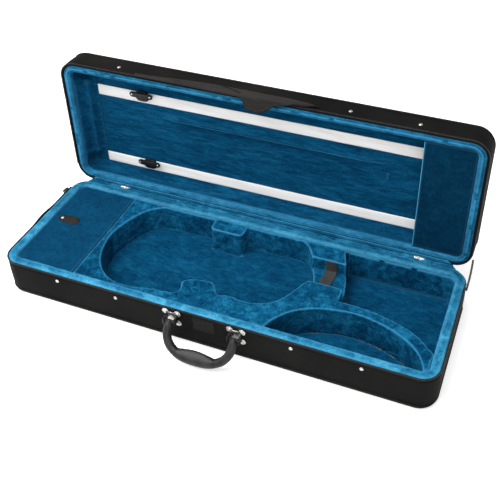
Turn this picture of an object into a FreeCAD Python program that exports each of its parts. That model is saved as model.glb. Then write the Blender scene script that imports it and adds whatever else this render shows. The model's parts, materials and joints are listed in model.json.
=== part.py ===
import FreeCAD, Part
import math
import os
from types import SimpleNamespace

import Sketcher

# An oblong violin case: a padded tray and a padded lid, hinged along the rear.
# Frame: millimetres, +Z up, the origin at the middle of the tray's base, +X along the
# case towards the scroll end, -Y towards the handle. The lid stands open.

Vector = FreeCAD.Vector

SIZES = [
    ("case_length", 790),
    ("case_width", 258),
    ("tray_height", 74),
    ("lid_depth", 53),
    ("corner_radius", 32),
    ("lid_gap", 0.6),
    ("lid_open_angle", 92.1),
    ("cover_cloth", 1.6),
    ("panel_board", 6),
    ("piping_size", 2.4),
    ("piping_proud", 1.4),
    ("seam_height", 8),
    ("rim_width", 19),
    ("rim_bead", 8),
    ("bead_round", 3.6),
    ("zip_height", 5),
    ("lid_hem", 5),
    ("seat", 0.3),
    ("foam_top", 68),
    ("violin_length", 386),
    ("violin_width", 216),
    ("violin_pad", 9.4),
    ("lining_pad", 3),
    ("neck_floor", 42),
    ("channel_front", 15),
    ("channel_rear", 75),
    ("scroll_start", 202),
    ("strap_width", 22),
    ("strap_cloth", 2),
    ("strap_middle", 161),
    ("strap_lap", 16),
    ("waist_length", 66),
    ("waist_depth", 29),
    ("waist_middle", -48),
    ("waist_split", -70),
    ("rear_split", -155),
    ("lobe_start", 108),
    ("neck_rear_start", 50),
    ("cradle_start", 100),
    ("accessory_length", 114),
    ("accessory_board", 5.4),
    ("accessory_wall", 9),
    ("ledge_width", 7),
    ("ledge_height", 12),
    ("tab_length", 44),
    ("tab_width", 22),
    ("tab_leather", 2.2),
    ("tab_place", 32),
    ("tab_row", 11),
    ("tab_rivet_in", 9),
    ("rivet_radius", 3.6),
    ("rivet_dome", 1.6),
    ("front_rivet_height", 59),
    ("inner_rivet_place", 160),
    ("outer_rivet_place", 277),
    ("lid_rivet_depth", 18),
    ("hinge_place", 297),
    ("hinge_length", 40),
    ("hinge_leaf", 1.2),
    ("hinge_leaf_height", 20),
    ("hinge_out", 0.5),
    ("knuckle_radius", 2.4),
    ("knuckle_room", 0.8),
    ("hinge_pin_radius", 1.2),
    ("pin_fit", 0.05),
    ("handle_middle", 6.5),
    ("post_spread", 58.5),
    ("post_cheek", 3),
    ("post_height", 12),
    ("post_depth", 13),
    ("pivot_out", 8.5),
    ("pivot_height", 53),
    ("plate_size", 34),
    ("plate_steel", 1.4),
    ("plate_lobe", 6),
    ("handle_reach", 52),
    ("handle_bend", 32),
    ("handle_rod", 7.5),
    ("handle_pin", 3),
    ("eye_extra", 0.5),
    ("handle_droop", 50),
    ("grip_length", 52),
    ("grip_width", 25),
    ("grip_thickness", 17),
    ("grip_inward", 4),
    ("patch_width", 40),
    ("patch_height", 28),
    ("patch_low", 38),
    ("patch_cloth", 1.2),
    ("flap_left", 165),
    ("flap_right", 108),
    ("flap_middle", 3),
    ("flap_cloth", 1.8),
    ("flap_band", 22),
    ("flap_drop", 10),
    ("flap_out", 6.2),
    ("flap_below", 3.5),
    ("tongue_width", 50),
    ("tongue_drop", 44),
    ("loop_inset", 5),
    ("loop_low", 10),
    ("lining_board", 4),
    ("strip_width", 22),
    ("strip_cloth", 1.2),
    ("strip_left", 346),
    ("strip_right", 360),
    ("upper_strip_place", -61),
    ("lower_strip_place", 91),
    ("pocket_left", 216),
    ("pocket_right", 229),
    ("pocket_top", -25.5),
    ("pocket_cloth", 1),
    ("tip_pocket_start", 289),
    ("tip_pocket_board", 3),
    ("tip_pocket_depth", 4),
    ("clip_place", -248),
    ("clip_forward", 8),
    ("clip_length", 48),
    ("clip_width", 10),
    ("clip_thickness", 4),
    ("clip_base_length", 30),
    ("clip_base_width", 14),
    ("clip_base_height", 5),
    ("clip_pin_radius", 2.5),
    ("slider_length", 12),
    ("slider_height", 8),
    ("slider_thickness", 4),
    ("slider_place", 84),
    ("pull_rod", 0.8),
    ("pull_out", 2.2),
    ("pull_half", 1.4),
    ("pull_width", 6),
    ("pull_length", 22),
    ("ear_half", 1.3),
    ("ear_width", 1),
    ("tape_cloth", 1),
    ("tape_reach", 20),
    ("stay_length", 50),
    ("stay_width", 10),
    ("stay_start", 59),
]

# The outlines of the hollows in the foam, as places on the tray. The violin's own
# outline is scaled with violin_length and violin_width about its middle.
VIOLIN_MIDDLE = (-53, 5)
VIOLIN_DRAWN = (386, 216)
VIOLIN_OUTLINE = [
    (-246, -2), (-240, -36), (-225, -68), (-200, -92), (-165, -103), (-130, -100),
    (-100, -94), (-78, -92), (-64, -86), (-62, -75), (-66, -63), (-57, -52), (-38, -47),
    (-18, -45), (-6, -56), (6, -69), (22, -65), (40, -67), (60, -68), (80, -63),
    (100, -52), (114, -34), (124, -12), (132, 6), (140, 22), (138, 42), (129, 66),
    (117, 87), (103, 103), (86, 111), (64, 113), (20, 113), (-50, 113), (-110, 113),
    (-146, 113), (-173, 111), (-199, 101), (-220, 82), (-234, 54), (-243, 24),
]
SCROLL_SIDE = [(-30, 126), (-23, 100), (-12, 70), (-3, 31), (-1, 0), (-1, -13)]
CRESCENT_BACK = [
    (-1, -13), (28, -13), (58, -16), (88, -22), (112, -29), (135, -39), (153, -52),
    (184, -76),
]
CRESCENT_FRONT = [
    (-98, -125), (-94, -100), (-84, -82), (-67, -63), (-44, -48), (-20, -39), (4, -34),
    (32, -31), (62, -34), (90, -41), (114, -51), (137, -65), (152, -80), (163, -100),
    (166, -125),
]

doc = FreeCAD.newDocument("violin_case")
sheet = doc.addObject("Spreadsheet::Sheet", "sizes")
for row, (alias, number) in enumerate(SIZES, start=1):
    sheet.set(f"A{row}", alias)
    sheet.set(f"B{row}", str(number))
    sheet.setAlias(f"B{row}", alias)
doc.recompute()

# S gives a dimension's name on the sheet, for expressions; V gives its value.
S = SimpleNamespace(**{alias: f"sizes.{alias}" for alias, _ in SIZES})
V = SimpleNamespace(**{alias: float(sheet.get(alias)) for alias, _ in SIZES})

# Places that several pieces share.
FRONT = f"-{S.case_width} / 2"
REAR = f"{S.case_width} / 2"
BASE_TOP = f"({S.cover_cloth} + {S.panel_board})"
INNER = f"({S.rim_width} + {S.seat})"
INNER_REAR = f"({S.case_width} / 2 - {INNER})"
INNER_RIGHT = f"({S.case_length} / 2 - {INNER})"
LID_LOW = f"({S.tray_height} + {S.lid_gap})"
LID_HIGH = f"({LID_LOW} + {S.lid_depth})"
LID_FLOOR = f"({LID_HIGH} - {S.cover_cloth} - {S.panel_board})"
LINING = f"({LID_FLOOR} - {S.lining_board})"
ACCESSORY_LEFT = f"-{INNER_RIGHT}"
ACCESSORY_RIGHT = f"(-{INNER_RIGHT} + {S.accessory_length})"

AXIS_Y = V.case_width / 2 + V.hinge_out
AXIS_Z = V.tray_height + V.lid_gap / 2
HINGE_LINE = Vector(0, AXIS_Y, AXIS_Z)
OPENED = FreeCAD.Placement(
    Vector(0, 0, 0), FreeCAD.Rotation(Vector(1, 0, 0), -V.lid_open_angle), HINGE_LINE
)

kept = []


def keep(thing, name, lid=False):
    """Names a finished piece, and stands it open if it belongs to the lid."""
    if lid and thing.TypeId == "Part::Box":
        thing = wrap(thing)
    thing.Label = name
    if lid:
        thing.Placement = OPENED.multiply(thing.Placement)
    kept.append(thing)
    return thing


def wrap(thing):
    """A group of one, so that a piece tied to the sheet can be moved as a whole."""
    group = doc.addObject("Part::Compound", "group")
    group.Links = [thing]
    return group


def bind(thing, **rules):
    for path, rule in rules.items():
        thing.setExpression(path.replace("__", "."), str(rule))


def block(x, y, z):
    """A box between three pairs of places, each pair low then high."""
    thing = doc.addObject("Part::Box", "block")
    for letter, edge, (low, high) in zip("xyz", ("Length", "Width", "Height"), (x, y, z)):
        thing.setExpression(edge, f"({high}) - ({low})")
        thing.setExpression(f"Placement.Base.{letter}", str(low))
    return thing


def rod(radius, length, place, turn=None):
    """A cylinder from a place, along +Z unless turned."""
    thing = doc.addObject("Part::Cylinder", "rod")
    bind(thing, Radius=radius, Height=length)
    for letter, rule in zip("xyz", place):
        thing.setExpression(f"Placement.Base.{letter}", str(rule))
    if turn:
        thing.Placement = FreeCAD.Placement(thing.Placement.Base, FreeCAD.Rotation(*turn))
    return thing


ALONG_X = (Vector(0, 1, 0), 90)
TO_FRONT = (Vector(1, 0, 0), 90)


def join(kind, parts):
    """The union or the common part of several shapes."""
    thing = doc.addObject(f"Part::{kind}", kind.lower())
    thing.Shapes = parts
    return thing


def cut(base, tool):
    thing = doc.addObject("Part::Cut", "cut")
    thing.Base = base
    thing.Tool = tool
    return thing


def plane_of(body, role):
    return next(f for f in body.Origin.OriginFeatures if f.Role == role)


def new_sketch(body, role="XY_Plane", height=None):
    sketch = body.newObject("Sketcher::SketchObject", "outline")
    sketch.AttachmentSupport = [(plane_of(body, role), "")]
    sketch.MapMode = "FlatFace"
    if height is not None:
        sketch.setExpression("AttachmentOffset.Base.z", str(height))
    return sketch


def rule(sketch, constraint, expression):
    """Adds one driven size to a sketch and ties it to the sheet."""
    number = sketch.addConstraint(constraint)
    sketch.setExpression(f"Constraints[{number}]", expression)


def rounded_rectangle(sketch, length, width, radius):
    """A centred rectangle with round corners; the sizes are expressions."""
    first = sketch.GeometryCount
    a, b, r = 40.0, 30.0, 5.0
    corners = [(a, b, 0), (-a, b, 90), (-a, -b, 180), (a, -b, 270)]
    ends = []
    for x, y, start in corners:
        middle = Vector(math.copysign(a - r, x), math.copysign(b - r, y), 0)
        circle = Part.Circle(middle, Vector(0, 0, 1), r)
        arc = Part.ArcOfCircle(circle, math.radians(start), math.radians(start + 90))
        sketch.addGeometry(arc, False)
        ends.append((arc.StartPoint, arc.EndPoint))
    for k in range(4):
        sketch.addGeometry(Part.LineSegment(ends[k][1], ends[(k + 1) % 4][0]), False)
    for k in range(4):
        line, arc, after = first + 4 + k, first + k, first + (k + 1) % 4
        sketch.addConstraint(Sketcher.Constraint("Tangent", arc, 2, line, 1))
        sketch.addConstraint(Sketcher.Constraint("Tangent", line, 2, after, 1))
        flat = "Horizontal" if k % 2 == 0 else "Vertical"
        sketch.addConstraint(Sketcher.Constraint(flat, line))
    for k in range(1, 4):
        sketch.addConstraint(Sketcher.Constraint("Equal", first, first + k))
    sketch.addConstraint(Sketcher.Constraint("Symmetric", first, 3, first + 2, 3, -1, 1))
    rule(sketch, Sketcher.Constraint("Radius", first, r), radius)
    rule(sketch, Sketcher.Constraint("DistanceX", first + 5, 1, first + 7, 1, 2 * a), length)
    rule(sketch, Sketcher.Constraint("DistanceY", first + 6, 1, first + 4, 1, 2 * b), width)


def case_outline(sketch, inset):
    """The case's plan, inset from its outer face."""
    rounded_rectangle(
        sketch,
        f"{S.case_length} - 2 * ({inset})",
        f"{S.case_width} - 2 * ({inset})",
        f"{S.corner_radius} - ({inset})",
    )


def pad(body, sketch, length):
    feature = body.newObject("PartDesign::Pad", "pad")
    feature.Profile = sketch
    feature.setExpression("Length", str(length))
    sketch.Visibility = False
    return feature


def layer(low, high, outer, inner=None):
    """A slab of the case's plan, or a ring of it where an inner inset is given."""
    body = doc.addObject("PartDesign::Body", "layer")
    sketch = new_sketch(body, height=low)
    case_outline(sketch, outer)
    if inner is not None:
        case_outline(sketch, inner)
    pad(body, sketch, f"({high}) - ({low})")
    return body


def dish(low, high, floor_low, floor_high, below):
    """A cloth cover for one face, with an edge turned up to the seam."""
    body = layer(low, high, 0)
    sketch = new_sketch(body, height=floor_low if below else floor_high)
    case_outline(sketch, S.cover_cloth)
    pocket = body.newObject("PartDesign::Pocket", "inside")
    pocket.Profile = sketch
    pocket.Reversed = below
    pocket.setExpression("Length", f"({floor_high}) - ({floor_low})")
    return body


def bead(low, high, outer, inner, top_up=True):
    """A padded plush ring with its outer and inner edges rounded on the open side."""
    body = layer(low, high, outer, inner)
    doc.recompute()
    shape = body.Shape
    level = shape.BoundBox.ZMax if top_up else shape.BoundBox.ZMin
    faces = [
        f"Face{k + 1}"
        for k, face in enumerate(shape.Faces)
        if abs(face.BoundBox.ZMin - level) < 1e-6 and abs(face.BoundBox.ZMax - level) < 1e-6
    ]
    ring = body.Tip
    fillet = body.newObject("PartDesign::Fillet", "round")
    fillet.Base = (ring, faces)
    fillet.setExpression("Radius", S.bead_round)
    return body


def curved_prism(wire, low, high):
    """A piece whose outline is a free curve: made from its wire, between two heights."""
    thing = doc.addObject("Part::Feature", "curved")
    wire.translate(Vector(0, 0, low))
    thing.Shape = Part.Face(wire).extrude(Vector(0, 0, high - low))
    return thing


def spline(points, closed=False):
    curve = Part.BSplineCurve()
    curve.interpolate([Vector(x, y, 0) for x, y in points], PeriodicFlag=closed)
    return curve.toShape()


# ---------------------------------------------------------------- the hollows
# Each wire can be drawn a little inside its walls, for the padded floor that lies in it.
def violin_wire(inset=0):
    middle = Vector(*VIOLIN_MIDDLE, 0)
    stretch_x = V.violin_length / VIOLIN_DRAWN[0]
    stretch_y = V.violin_width / VIOLIN_DRAWN[1]
    points = []
    for x, y in VIOLIN_OUTLINE:
        out = Vector(x, y, 0) - middle
        points.append(middle + Vector(out.x * stretch_x, out.y * stretch_y, 0))
    moved = []
    for k, point in enumerate(points):
        along = points[(k + 1) % len(points)] - points[k - 1]
        inward = Vector(-along.y, along.x, 0).normalize() * inset
        moved.append((point.x + inward.x, point.y + inward.y))
    return Part.Wire([spline(moved, closed=True)])


def scroll_wire(inset=0):
    """The scroll compartment: the neck blocks on its left, the curved wall in front."""
    past_rear = V.case_width / 2
    past_right = V.case_length / 2
    start = V.scroll_start + inset
    left = [(start + x, y + inset) for x, y in SCROLL_SIDE]
    left[0] = (left[0][0], past_rear)
    front = [(start + x, y + inset) for x, y in CRESCENT_BACK]
    last = (past_right, front[-1][1])
    corners = [front[-1], last, (past_right, past_rear), left[0]]
    sides = [
        Part.makeLine(Vector(*a, 0), Vector(*b, 0)) for a, b in zip(corners, corners[1:])
    ]
    return Part.Wire([spline(left), spline(front), *sides])


def crescent_wire(inset=0):
    narrow = 1 - 2 * inset / (CRESCENT_FRONT[-1][0] - CRESCENT_FRONT[0][0])
    middle = V.scroll_start + (CRESCENT_FRONT[-1][0] + CRESCENT_FRONT[0][0]) / 2
    back = [
        (middle + (V.scroll_start + x - middle) * narrow, y - inset) for x, y in CRESCENT_FRONT
    ]
    past_front = -V.case_width / 2
    back[0] = (back[0][0], past_front)
    back[-1] = (back[-1][0], past_front)
    closing = Part.makeLine(Vector(*back[-1], 0), Vector(*back[0], 0))
    return Part.Wire([spline(back), closing])


base_top = V.cover_cloth + V.panel_board
violin_void = curved_prism(violin_wire(), 0, V.tray_height)
scroll_void = curved_prism(scroll_wire(), 0, V.tray_height)
crescent_void = curved_prism(crescent_wire(), 0, V.tray_height)
tray_room = layer(BASE_TOP, f"{S.tray_height}", INNER)


def hinge_room():
    """The space that the hinges' knuckles and leaves need in both shells."""
    parts = []
    half = f"({S.hinge_length} / 2 + {S.seat})"
    inside = f"({REAR} - {S.cover_cloth} - {S.hinge_leaf} - {S.seat})"
    reach = f"({S.hinge_leaf_height} + {S.seat})"
    for side in ("-", ""):
        middle = f"{side}{S.hinge_place}"
        ends = (f"{middle} - {half}", f"{middle} + {half}")
        barrel = rod(
            f"{S.knuckle_radius} + {S.knuckle_room}", f"2 * {half}",
            (ends[0], f"{REAR} + {S.hinge_out}", f"{S.tray_height} + {S.lid_gap} / 2"), ALONG_X,
        )
        leaf = block(
            ends, (inside, f"{REAR} - {S.cover_cloth}"),
            (f"{S.tray_height} - {reach}", f"{LID_LOW} + {reach}"),
        )
        parts += [barrel, leaf]
    return join("MultiFuse", parts)


def without_hinges(thing):
    return cut(thing, hinge_room())


# ---------------------------------------------------------------- the tray's shell
keep(dish(0, S.seam_height, S.cover_cloth, S.seam_height, True), "tray_base_cover")
keep(layer(S.cover_cloth, BASE_TOP, S.cover_cloth), "tray_base_panel")
tray_cloth_top = f"({S.tray_height} - {S.lid_gap} - {S.zip_height})"
keep(without_hinges(layer(S.seam_height, tray_cloth_top, 0, S.cover_cloth)), "tray_side_cover")
keep(
    layer(
        f"{S.seam_height} - {S.piping_size} / 2", f"{S.seam_height} + {S.piping_size} / 2",
        f"-{S.piping_proud}", 0,
    ),
    "tray_piping",
)
bead_low = f"({S.tray_height} - {S.rim_bead})"
tray_ring = without_hinges(layer(BASE_TOP, bead_low, S.cover_cloth, S.rim_width))
corner_blocks = []
for x_side in ("-", ""):
    for y_side in ("-", ""):
        far_x, far_y = f"{x_side}{S.case_length} / 2", f"{y_side}{S.case_width} / 2"
        back = "+" if x_side else "-"
        near_x = f"{far_x} {back} {S.corner_radius}"
        back = "+" if y_side else "-"
        near_y = f"{far_y} {back} {S.corner_radius}"
        span_x = (far_x, near_x) if x_side else (near_x, far_x)
        span_y = (far_y, near_y) if y_side else (near_y, far_y)
        corner_blocks.append(block(span_x, span_y, ("0", S.tray_height)))
corner_room = join("MultiFuse", corner_blocks)
tray_boards = doc.addObject("Part::Compound", "boards")
tray_boards.Links = [cut(tray_ring, corner_room), join("MultiCommon", [tray_ring, corner_room])]
keep(tray_boards, "tray_wall")
keep(
    without_hinges(bead(bead_low, S.tray_height, S.cover_cloth, S.rim_width)),
    "tray_rim_trim",
)


def zip_tape(low, high, name, lid):
    """The zip's half: round the front and both ends, but not along the rear."""
    ring = layer(low, high, 0, S.cover_cloth)
    rear_stretch = block(
        (f"-{S.case_length}", S.case_length),
        (f"{REAR} - {S.corner_radius}", f"{REAR} + {S.rim_width}"),
        (f"({low}) - {S.seat}", f"({high}) + {S.seat}"),
    )
    keep(cut(ring, rear_stretch), name, lid)


zip_top = f"({tray_cloth_top} + {S.zip_height})"
zip_tape(tray_cloth_top, zip_top, "tray_zip", False)

# ---------------------------------------------------------------- the foam in the tray
FOAM_LEFT = f"({ACCESSORY_RIGHT} + {S.accessory_wall} / 2 + {S.seat})"
PARTITION_LEFT = f"({ACCESSORY_RIGHT} - {S.accessory_wall} / 2)"
PARTITION_RIGHT = f"({ACCESSORY_RIGHT} + {S.accessory_wall} / 2)"
across = (f"-{INNER_REAR}", INNER_REAR)
LID_UNDER = f"({S.foam_top} - {S.accessory_board})"

keep(
    block((PARTITION_LEFT, PARTITION_RIGHT), across, (BASE_TOP, f"{LID_UNDER} - {S.seat}")),
    "accessory_partition",
)
keep(
    block(
        (ACCESSORY_LEFT, f"{ACCESSORY_LEFT} + {S.ledge_width}"),
        (f"-{INNER_REAR} + {S.corner_radius}", f"{INNER_REAR} - {S.corner_radius}"),
        (f"{LID_UNDER} - {S.seat} - {S.ledge_height}", f"{LID_UNDER} - {S.seat}"),
    ),
    "accessory_ledge",
)


def in_tray(thing):
    return join("MultiCommon", [thing, tray_room])


accessory_floor = block(
    (ACCESSORY_LEFT, f"{PARTITION_LEFT} - {S.seat}"), across,
    (BASE_TOP, f"{BASE_TOP} + {S.lining_pad}"),
)
keep(in_tray(accessory_floor), "accessory_floor_pad")

lower_rear = block(
    (FOAM_LEFT, S.rear_split), (f"{S.seat} / 2", INNER_REAR), (BASE_TOP, S.foam_top)
)
keep(cut(lower_rear, violin_void), "lower_bout_rear_block")
lower_front = block(
    (FOAM_LEFT, S.waist_split), (f"-{INNER_REAR}", f"-{S.seat} / 2"), (BASE_TOP, S.foam_top)
)
keep(cut(lower_front, violin_void), "lower_bout_front_block")
keep(
    block(
        (f"{S.waist_middle} - {S.waist_length} / 2", f"{S.waist_middle} + {S.waist_length} / 2"),
        (f"{INNER_REAR} - {S.waist_depth}", INNER_REAR), (BASE_TOP, S.foam_top),
    ),
    "waist_rear_block",
)
upper_front = block(
    (f"{S.waist_split} + {S.seat}", f"{S.lobe_start} - {S.seat}"), (f"-{INNER_REAR}", "0"),
    (BASE_TOP, S.foam_top),
)
keep(cut(cut(upper_front, violin_void), crescent_void), "upper_bout_front_block")
tools = join("MultiFuse", [violin_void, scroll_void])
neck_rear = block(
    (S.neck_rear_start, S.scroll_start), (S.channel_rear, INNER_REAR), (BASE_TOP, S.foam_top)
)
keep(cut(neck_rear, tools), "neck_rear_block")
neck_cradle = block(
    (S.cradle_start, S.scroll_start),
    (f"{S.channel_front} + {S.seat}", f"{S.channel_rear} - {S.seat}"), (BASE_TOP, S.neck_floor),
)
keep(cut(neck_cradle, tools), "neck_cradle_block")
neck_lobe = block(
    (S.lobe_start, f"{S.scroll_start} - {S.seat}"), (f"-{INNER_REAR}", S.channel_front),
    (BASE_TOP, S.foam_top),
)
keep(cut(cut(neck_lobe, tools), crescent_void), "neck_front_block")
crescent_wall = block(
    (S.scroll_start, INNER_RIGHT), (f"-{INNER_REAR}", "0"), (BASE_TOP, S.foam_top)
)
keep(cut(cut(in_tray(crescent_wall), scroll_void), crescent_void), "crescent_wall")


def floor_pad(wire, top, name, spare=None):
    """A padded floor that fills a hollow's outline, a little inside its walls."""
    pad_solid = curved_prism(wire, base_top, top)
    thing = in_tray(pad_solid)
    if spare:
        thing = cut(thing, spare)
    keep(thing, name)


waist_room = block(
    (
        f"{S.waist_middle} - {S.waist_length} / 2 - {S.seat}",
        f"{S.waist_middle} + {S.waist_length} / 2 + {S.seat}",
    ),
    (f"{INNER_REAR} - {S.waist_depth} - {S.seat}", REAR), ("0", S.tray_height),
)
floor_pad(violin_wire(V.seat), base_top + V.violin_pad, "violin_floor_pad", waist_room)
floor_pad(scroll_wire(V.seat), base_top + V.lining_pad, "scroll_floor_pad")
floor_pad(crescent_wire(V.seat), base_top + V.lining_pad, "crescent_floor_pad")


def profile_pad(points, width, middle, name, lid=False):
    """A strip with a cornered profile seen along the case, of one width."""
    half = width / 2
    corners = [Vector(middle - half, y, z) for y, z in points]
    wire = Part.makePolygon([*corners, corners[0]])
    thing = doc.addObject("Part::Feature", name)
    thing.Shape = Part.Face(wire).extrude(Vector(width, 0, 0))
    return keep(thing, name, lid)


strap_low = V.neck_floor + V.seat
strap_top = V.foam_top + V.seat
left, right = V.channel_front + V.seat, V.channel_rear - V.seat
cloth, lap = V.strap_cloth, V.strap_lap
profile_pad(
    [
        (left - lap, strap_top), (left, strap_top), (left, strap_low), (right, strap_low),
        (right, strap_top), (right + lap, strap_top), (right + lap, strap_top + cloth),
        (right - cloth, strap_top + cloth), (right - cloth, strap_low + cloth),
        (left + cloth, strap_low + cloth), (left + cloth, strap_top + cloth),
        (left - lap, strap_top + cloth),
    ],
    V.strap_width, V.strap_middle, "neck_strap",
)

# ---------------------------------------------------------------- the accessory lid
accessory_panel = block(
    (f"{ACCESSORY_LEFT} + {S.seat}", ACCESSORY_RIGHT),
    (f"-{INNER_REAR} + {S.seat}", f"{INNER_REAR} - {S.seat}"), (LID_UNDER, S.foam_top),
)
nose = rod(
    f"{S.accessory_board} / 2", f"2 * ({INNER_REAR} - {S.seat})",
    (ACCESSORY_RIGHT, f"{INNER_REAR} - {S.seat}", f"{S.foam_top} - {S.accessory_board} / 2"),
    TO_FRONT,
)
keep(in_tray(join("MultiFuse", [accessory_panel, nose])), "accessory_lid")
TAB_MIDDLE = f"({ACCESSORY_LEFT} + {S.tab_place})"
tab_half = f"({S.tab_length} - {S.tab_width}) / 2"
tab_shapes = [
    block(
        (f"{TAB_MIDDLE} - {tab_half}", f"{TAB_MIDDLE} + {tab_half}"),
        (f"{S.tab_row} - {S.tab_width} / 2", f"{S.tab_row} + {S.tab_width} / 2"),
        (S.foam_top, f"{S.foam_top} + {S.tab_leather}"),
    )
]
for side in ("-", "+"):
    place = (f"{TAB_MIDDLE} {side} {tab_half}", S.tab_row, S.foam_top)
    tab_shapes.append(rod(f"{S.tab_width} / 2", S.tab_leather, place))
keep(join("MultiFuse", tab_shapes), "accessory_tab")


def dome(place, turn=None):
    """A rivet's low round head, with its flat side on the surface it is set in."""
    radius, rise = V.rivet_radius, V.rivet_dome
    ball = (radius * radius + rise * rise) / (2 * rise)
    thing = doc.addObject("Part::Sphere", "dome")
    bind(
        thing,
        Radius=f"({S.rivet_radius}^2 + {S.rivet_dome}^2) / (2 * {S.rivet_dome})",
        Angle1=math.degrees(math.asin((ball - rise) / ball)), Angle2=90,
    )
    thing.Placement = FreeCAD.Placement(
        Vector(*place), FreeCAD.Rotation(*(turn or (Vector(0, 0, 1), 0)))
    ).multiply(FreeCAD.Placement(Vector(0, 0, rise - ball), FreeCAD.Rotation()))
    return thing


inner_left = V.rim_width + V.seat - V.case_length / 2
tab_rivet_x = inner_left + V.tab_place - V.tab_length / 2 + V.tab_rivet_in
keep(dome((tab_rivet_x, V.tab_row, V.foam_top + V.tab_leather)), "accessory_tab_rivet")

# ---------------------------------------------------------------- hardware on the tray's front
front = -V.case_width / 2


def rivet_row(places, y, z, name, lid):
    keep(join("MultiFuse", [dome((x, y, z), TO_FRONT) for x in places]), name, lid)


rivet_places = [
    -V.outer_rivet_place, -V.inner_rivet_place, V.inner_rivet_place, V.outer_rivet_place
]
rivet_row(rivet_places, front, V.front_rivet_height, "tray_rivets", False)
plates, posts, plate_rivets = [], [], []
lobe_out = V.plate_size / 2 - V.plate_lobe
lobe = f"({S.plate_size} / 2 - {S.plate_lobe})"
PLATE_FRONT = f"({FRONT} - {S.plate_steel})"
PIVOT_Y = f"({PLATE_FRONT} - {S.pivot_out})"
EYE = f"({S.handle_rod} + {S.eye_extra})"
CHEEK_IN = f"({EYE} + {S.seat})"
CHEEK_OUT = f"({CHEEK_IN} + {S.post_cheek})"
for side in ("-", "+"):
    x = f"({S.handle_middle} {side} {S.post_spread})"
    middle = V.handle_middle + float(f"{side}1") * V.post_spread
    shapes = [
        block(
            (f"{x} - {lobe}", f"{x} + {lobe}"), (PLATE_FRONT, FRONT),
            (f"{S.pivot_height} - {lobe}", f"{S.pivot_height} + {lobe}"),
        )
    ]
    for across_sign in ("-", "+"):
        for up_sign in ("-", "+"):
            shapes.append(
                rod(
                    S.plate_lobe, S.plate_steel,
                    (f"{x} {across_sign} {lobe}", FRONT, f"{S.pivot_height} {up_sign} {lobe}"),
                    TO_FRONT,
                )
            )
            rivet_x = middle + float(f"{across_sign}1") * lobe_out
            rivet_z = V.pivot_height + float(f"{up_sign}1") * lobe_out
            plate_rivets.append(dome((rivet_x, front - V.plate_steel, rivet_z), TO_FRONT))
    plates.append(join("MultiFuse", shapes))
    bore = rod(
        f"{S.handle_pin} + {S.pin_fit}", f"2 * {CHEEK_OUT} + 2",
        (f"{x} - {CHEEK_OUT} - 1", PIVOT_Y, S.pivot_height), ALONG_X,
    )
    for span in (
        (f"{x} - {CHEEK_OUT}", f"{x} - {CHEEK_IN}"), (f"{x} + {CHEEK_IN}", f"{x} + {CHEEK_OUT}")
    ):
        cheek = block(
            span, (f"{PLATE_FRONT} - {S.post_depth}", PLATE_FRONT),
            (f"{S.pivot_height} - {S.post_height} / 2", f"{S.pivot_height} + {S.post_height} / 2"),
        )
        posts.append(cut(cheek, bore))
keep(join("MultiFuse", plates), "handle_plates")
keep(join("MultiFuse", posts), "handle_posts")
keep(join("MultiFuse", plate_rivets), "handle_rivets")
keep(
    block(
        (
            f"{S.handle_middle} - {S.patch_width} / 2",
            f"{S.handle_middle} + {S.patch_width} / 2",
        ),
        (f"{FRONT} - {S.patch_cloth}", FRONT), (S.patch_low, f"{S.patch_low} + {S.patch_height}"),
    ),
    "hook_patch",
)

# ---------------------------------------------------------------- the handle
# Drawn flat about its pivot, then hung from the posts: it rests on what the case stands on.
pivot = Vector(V.handle_middle, front - V.plate_steel - V.pivot_out, V.pivot_height)
HUNG = FreeCAD.Placement(pivot, FreeCAD.Rotation(Vector(1, 0, 0), V.handle_droop))


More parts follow.
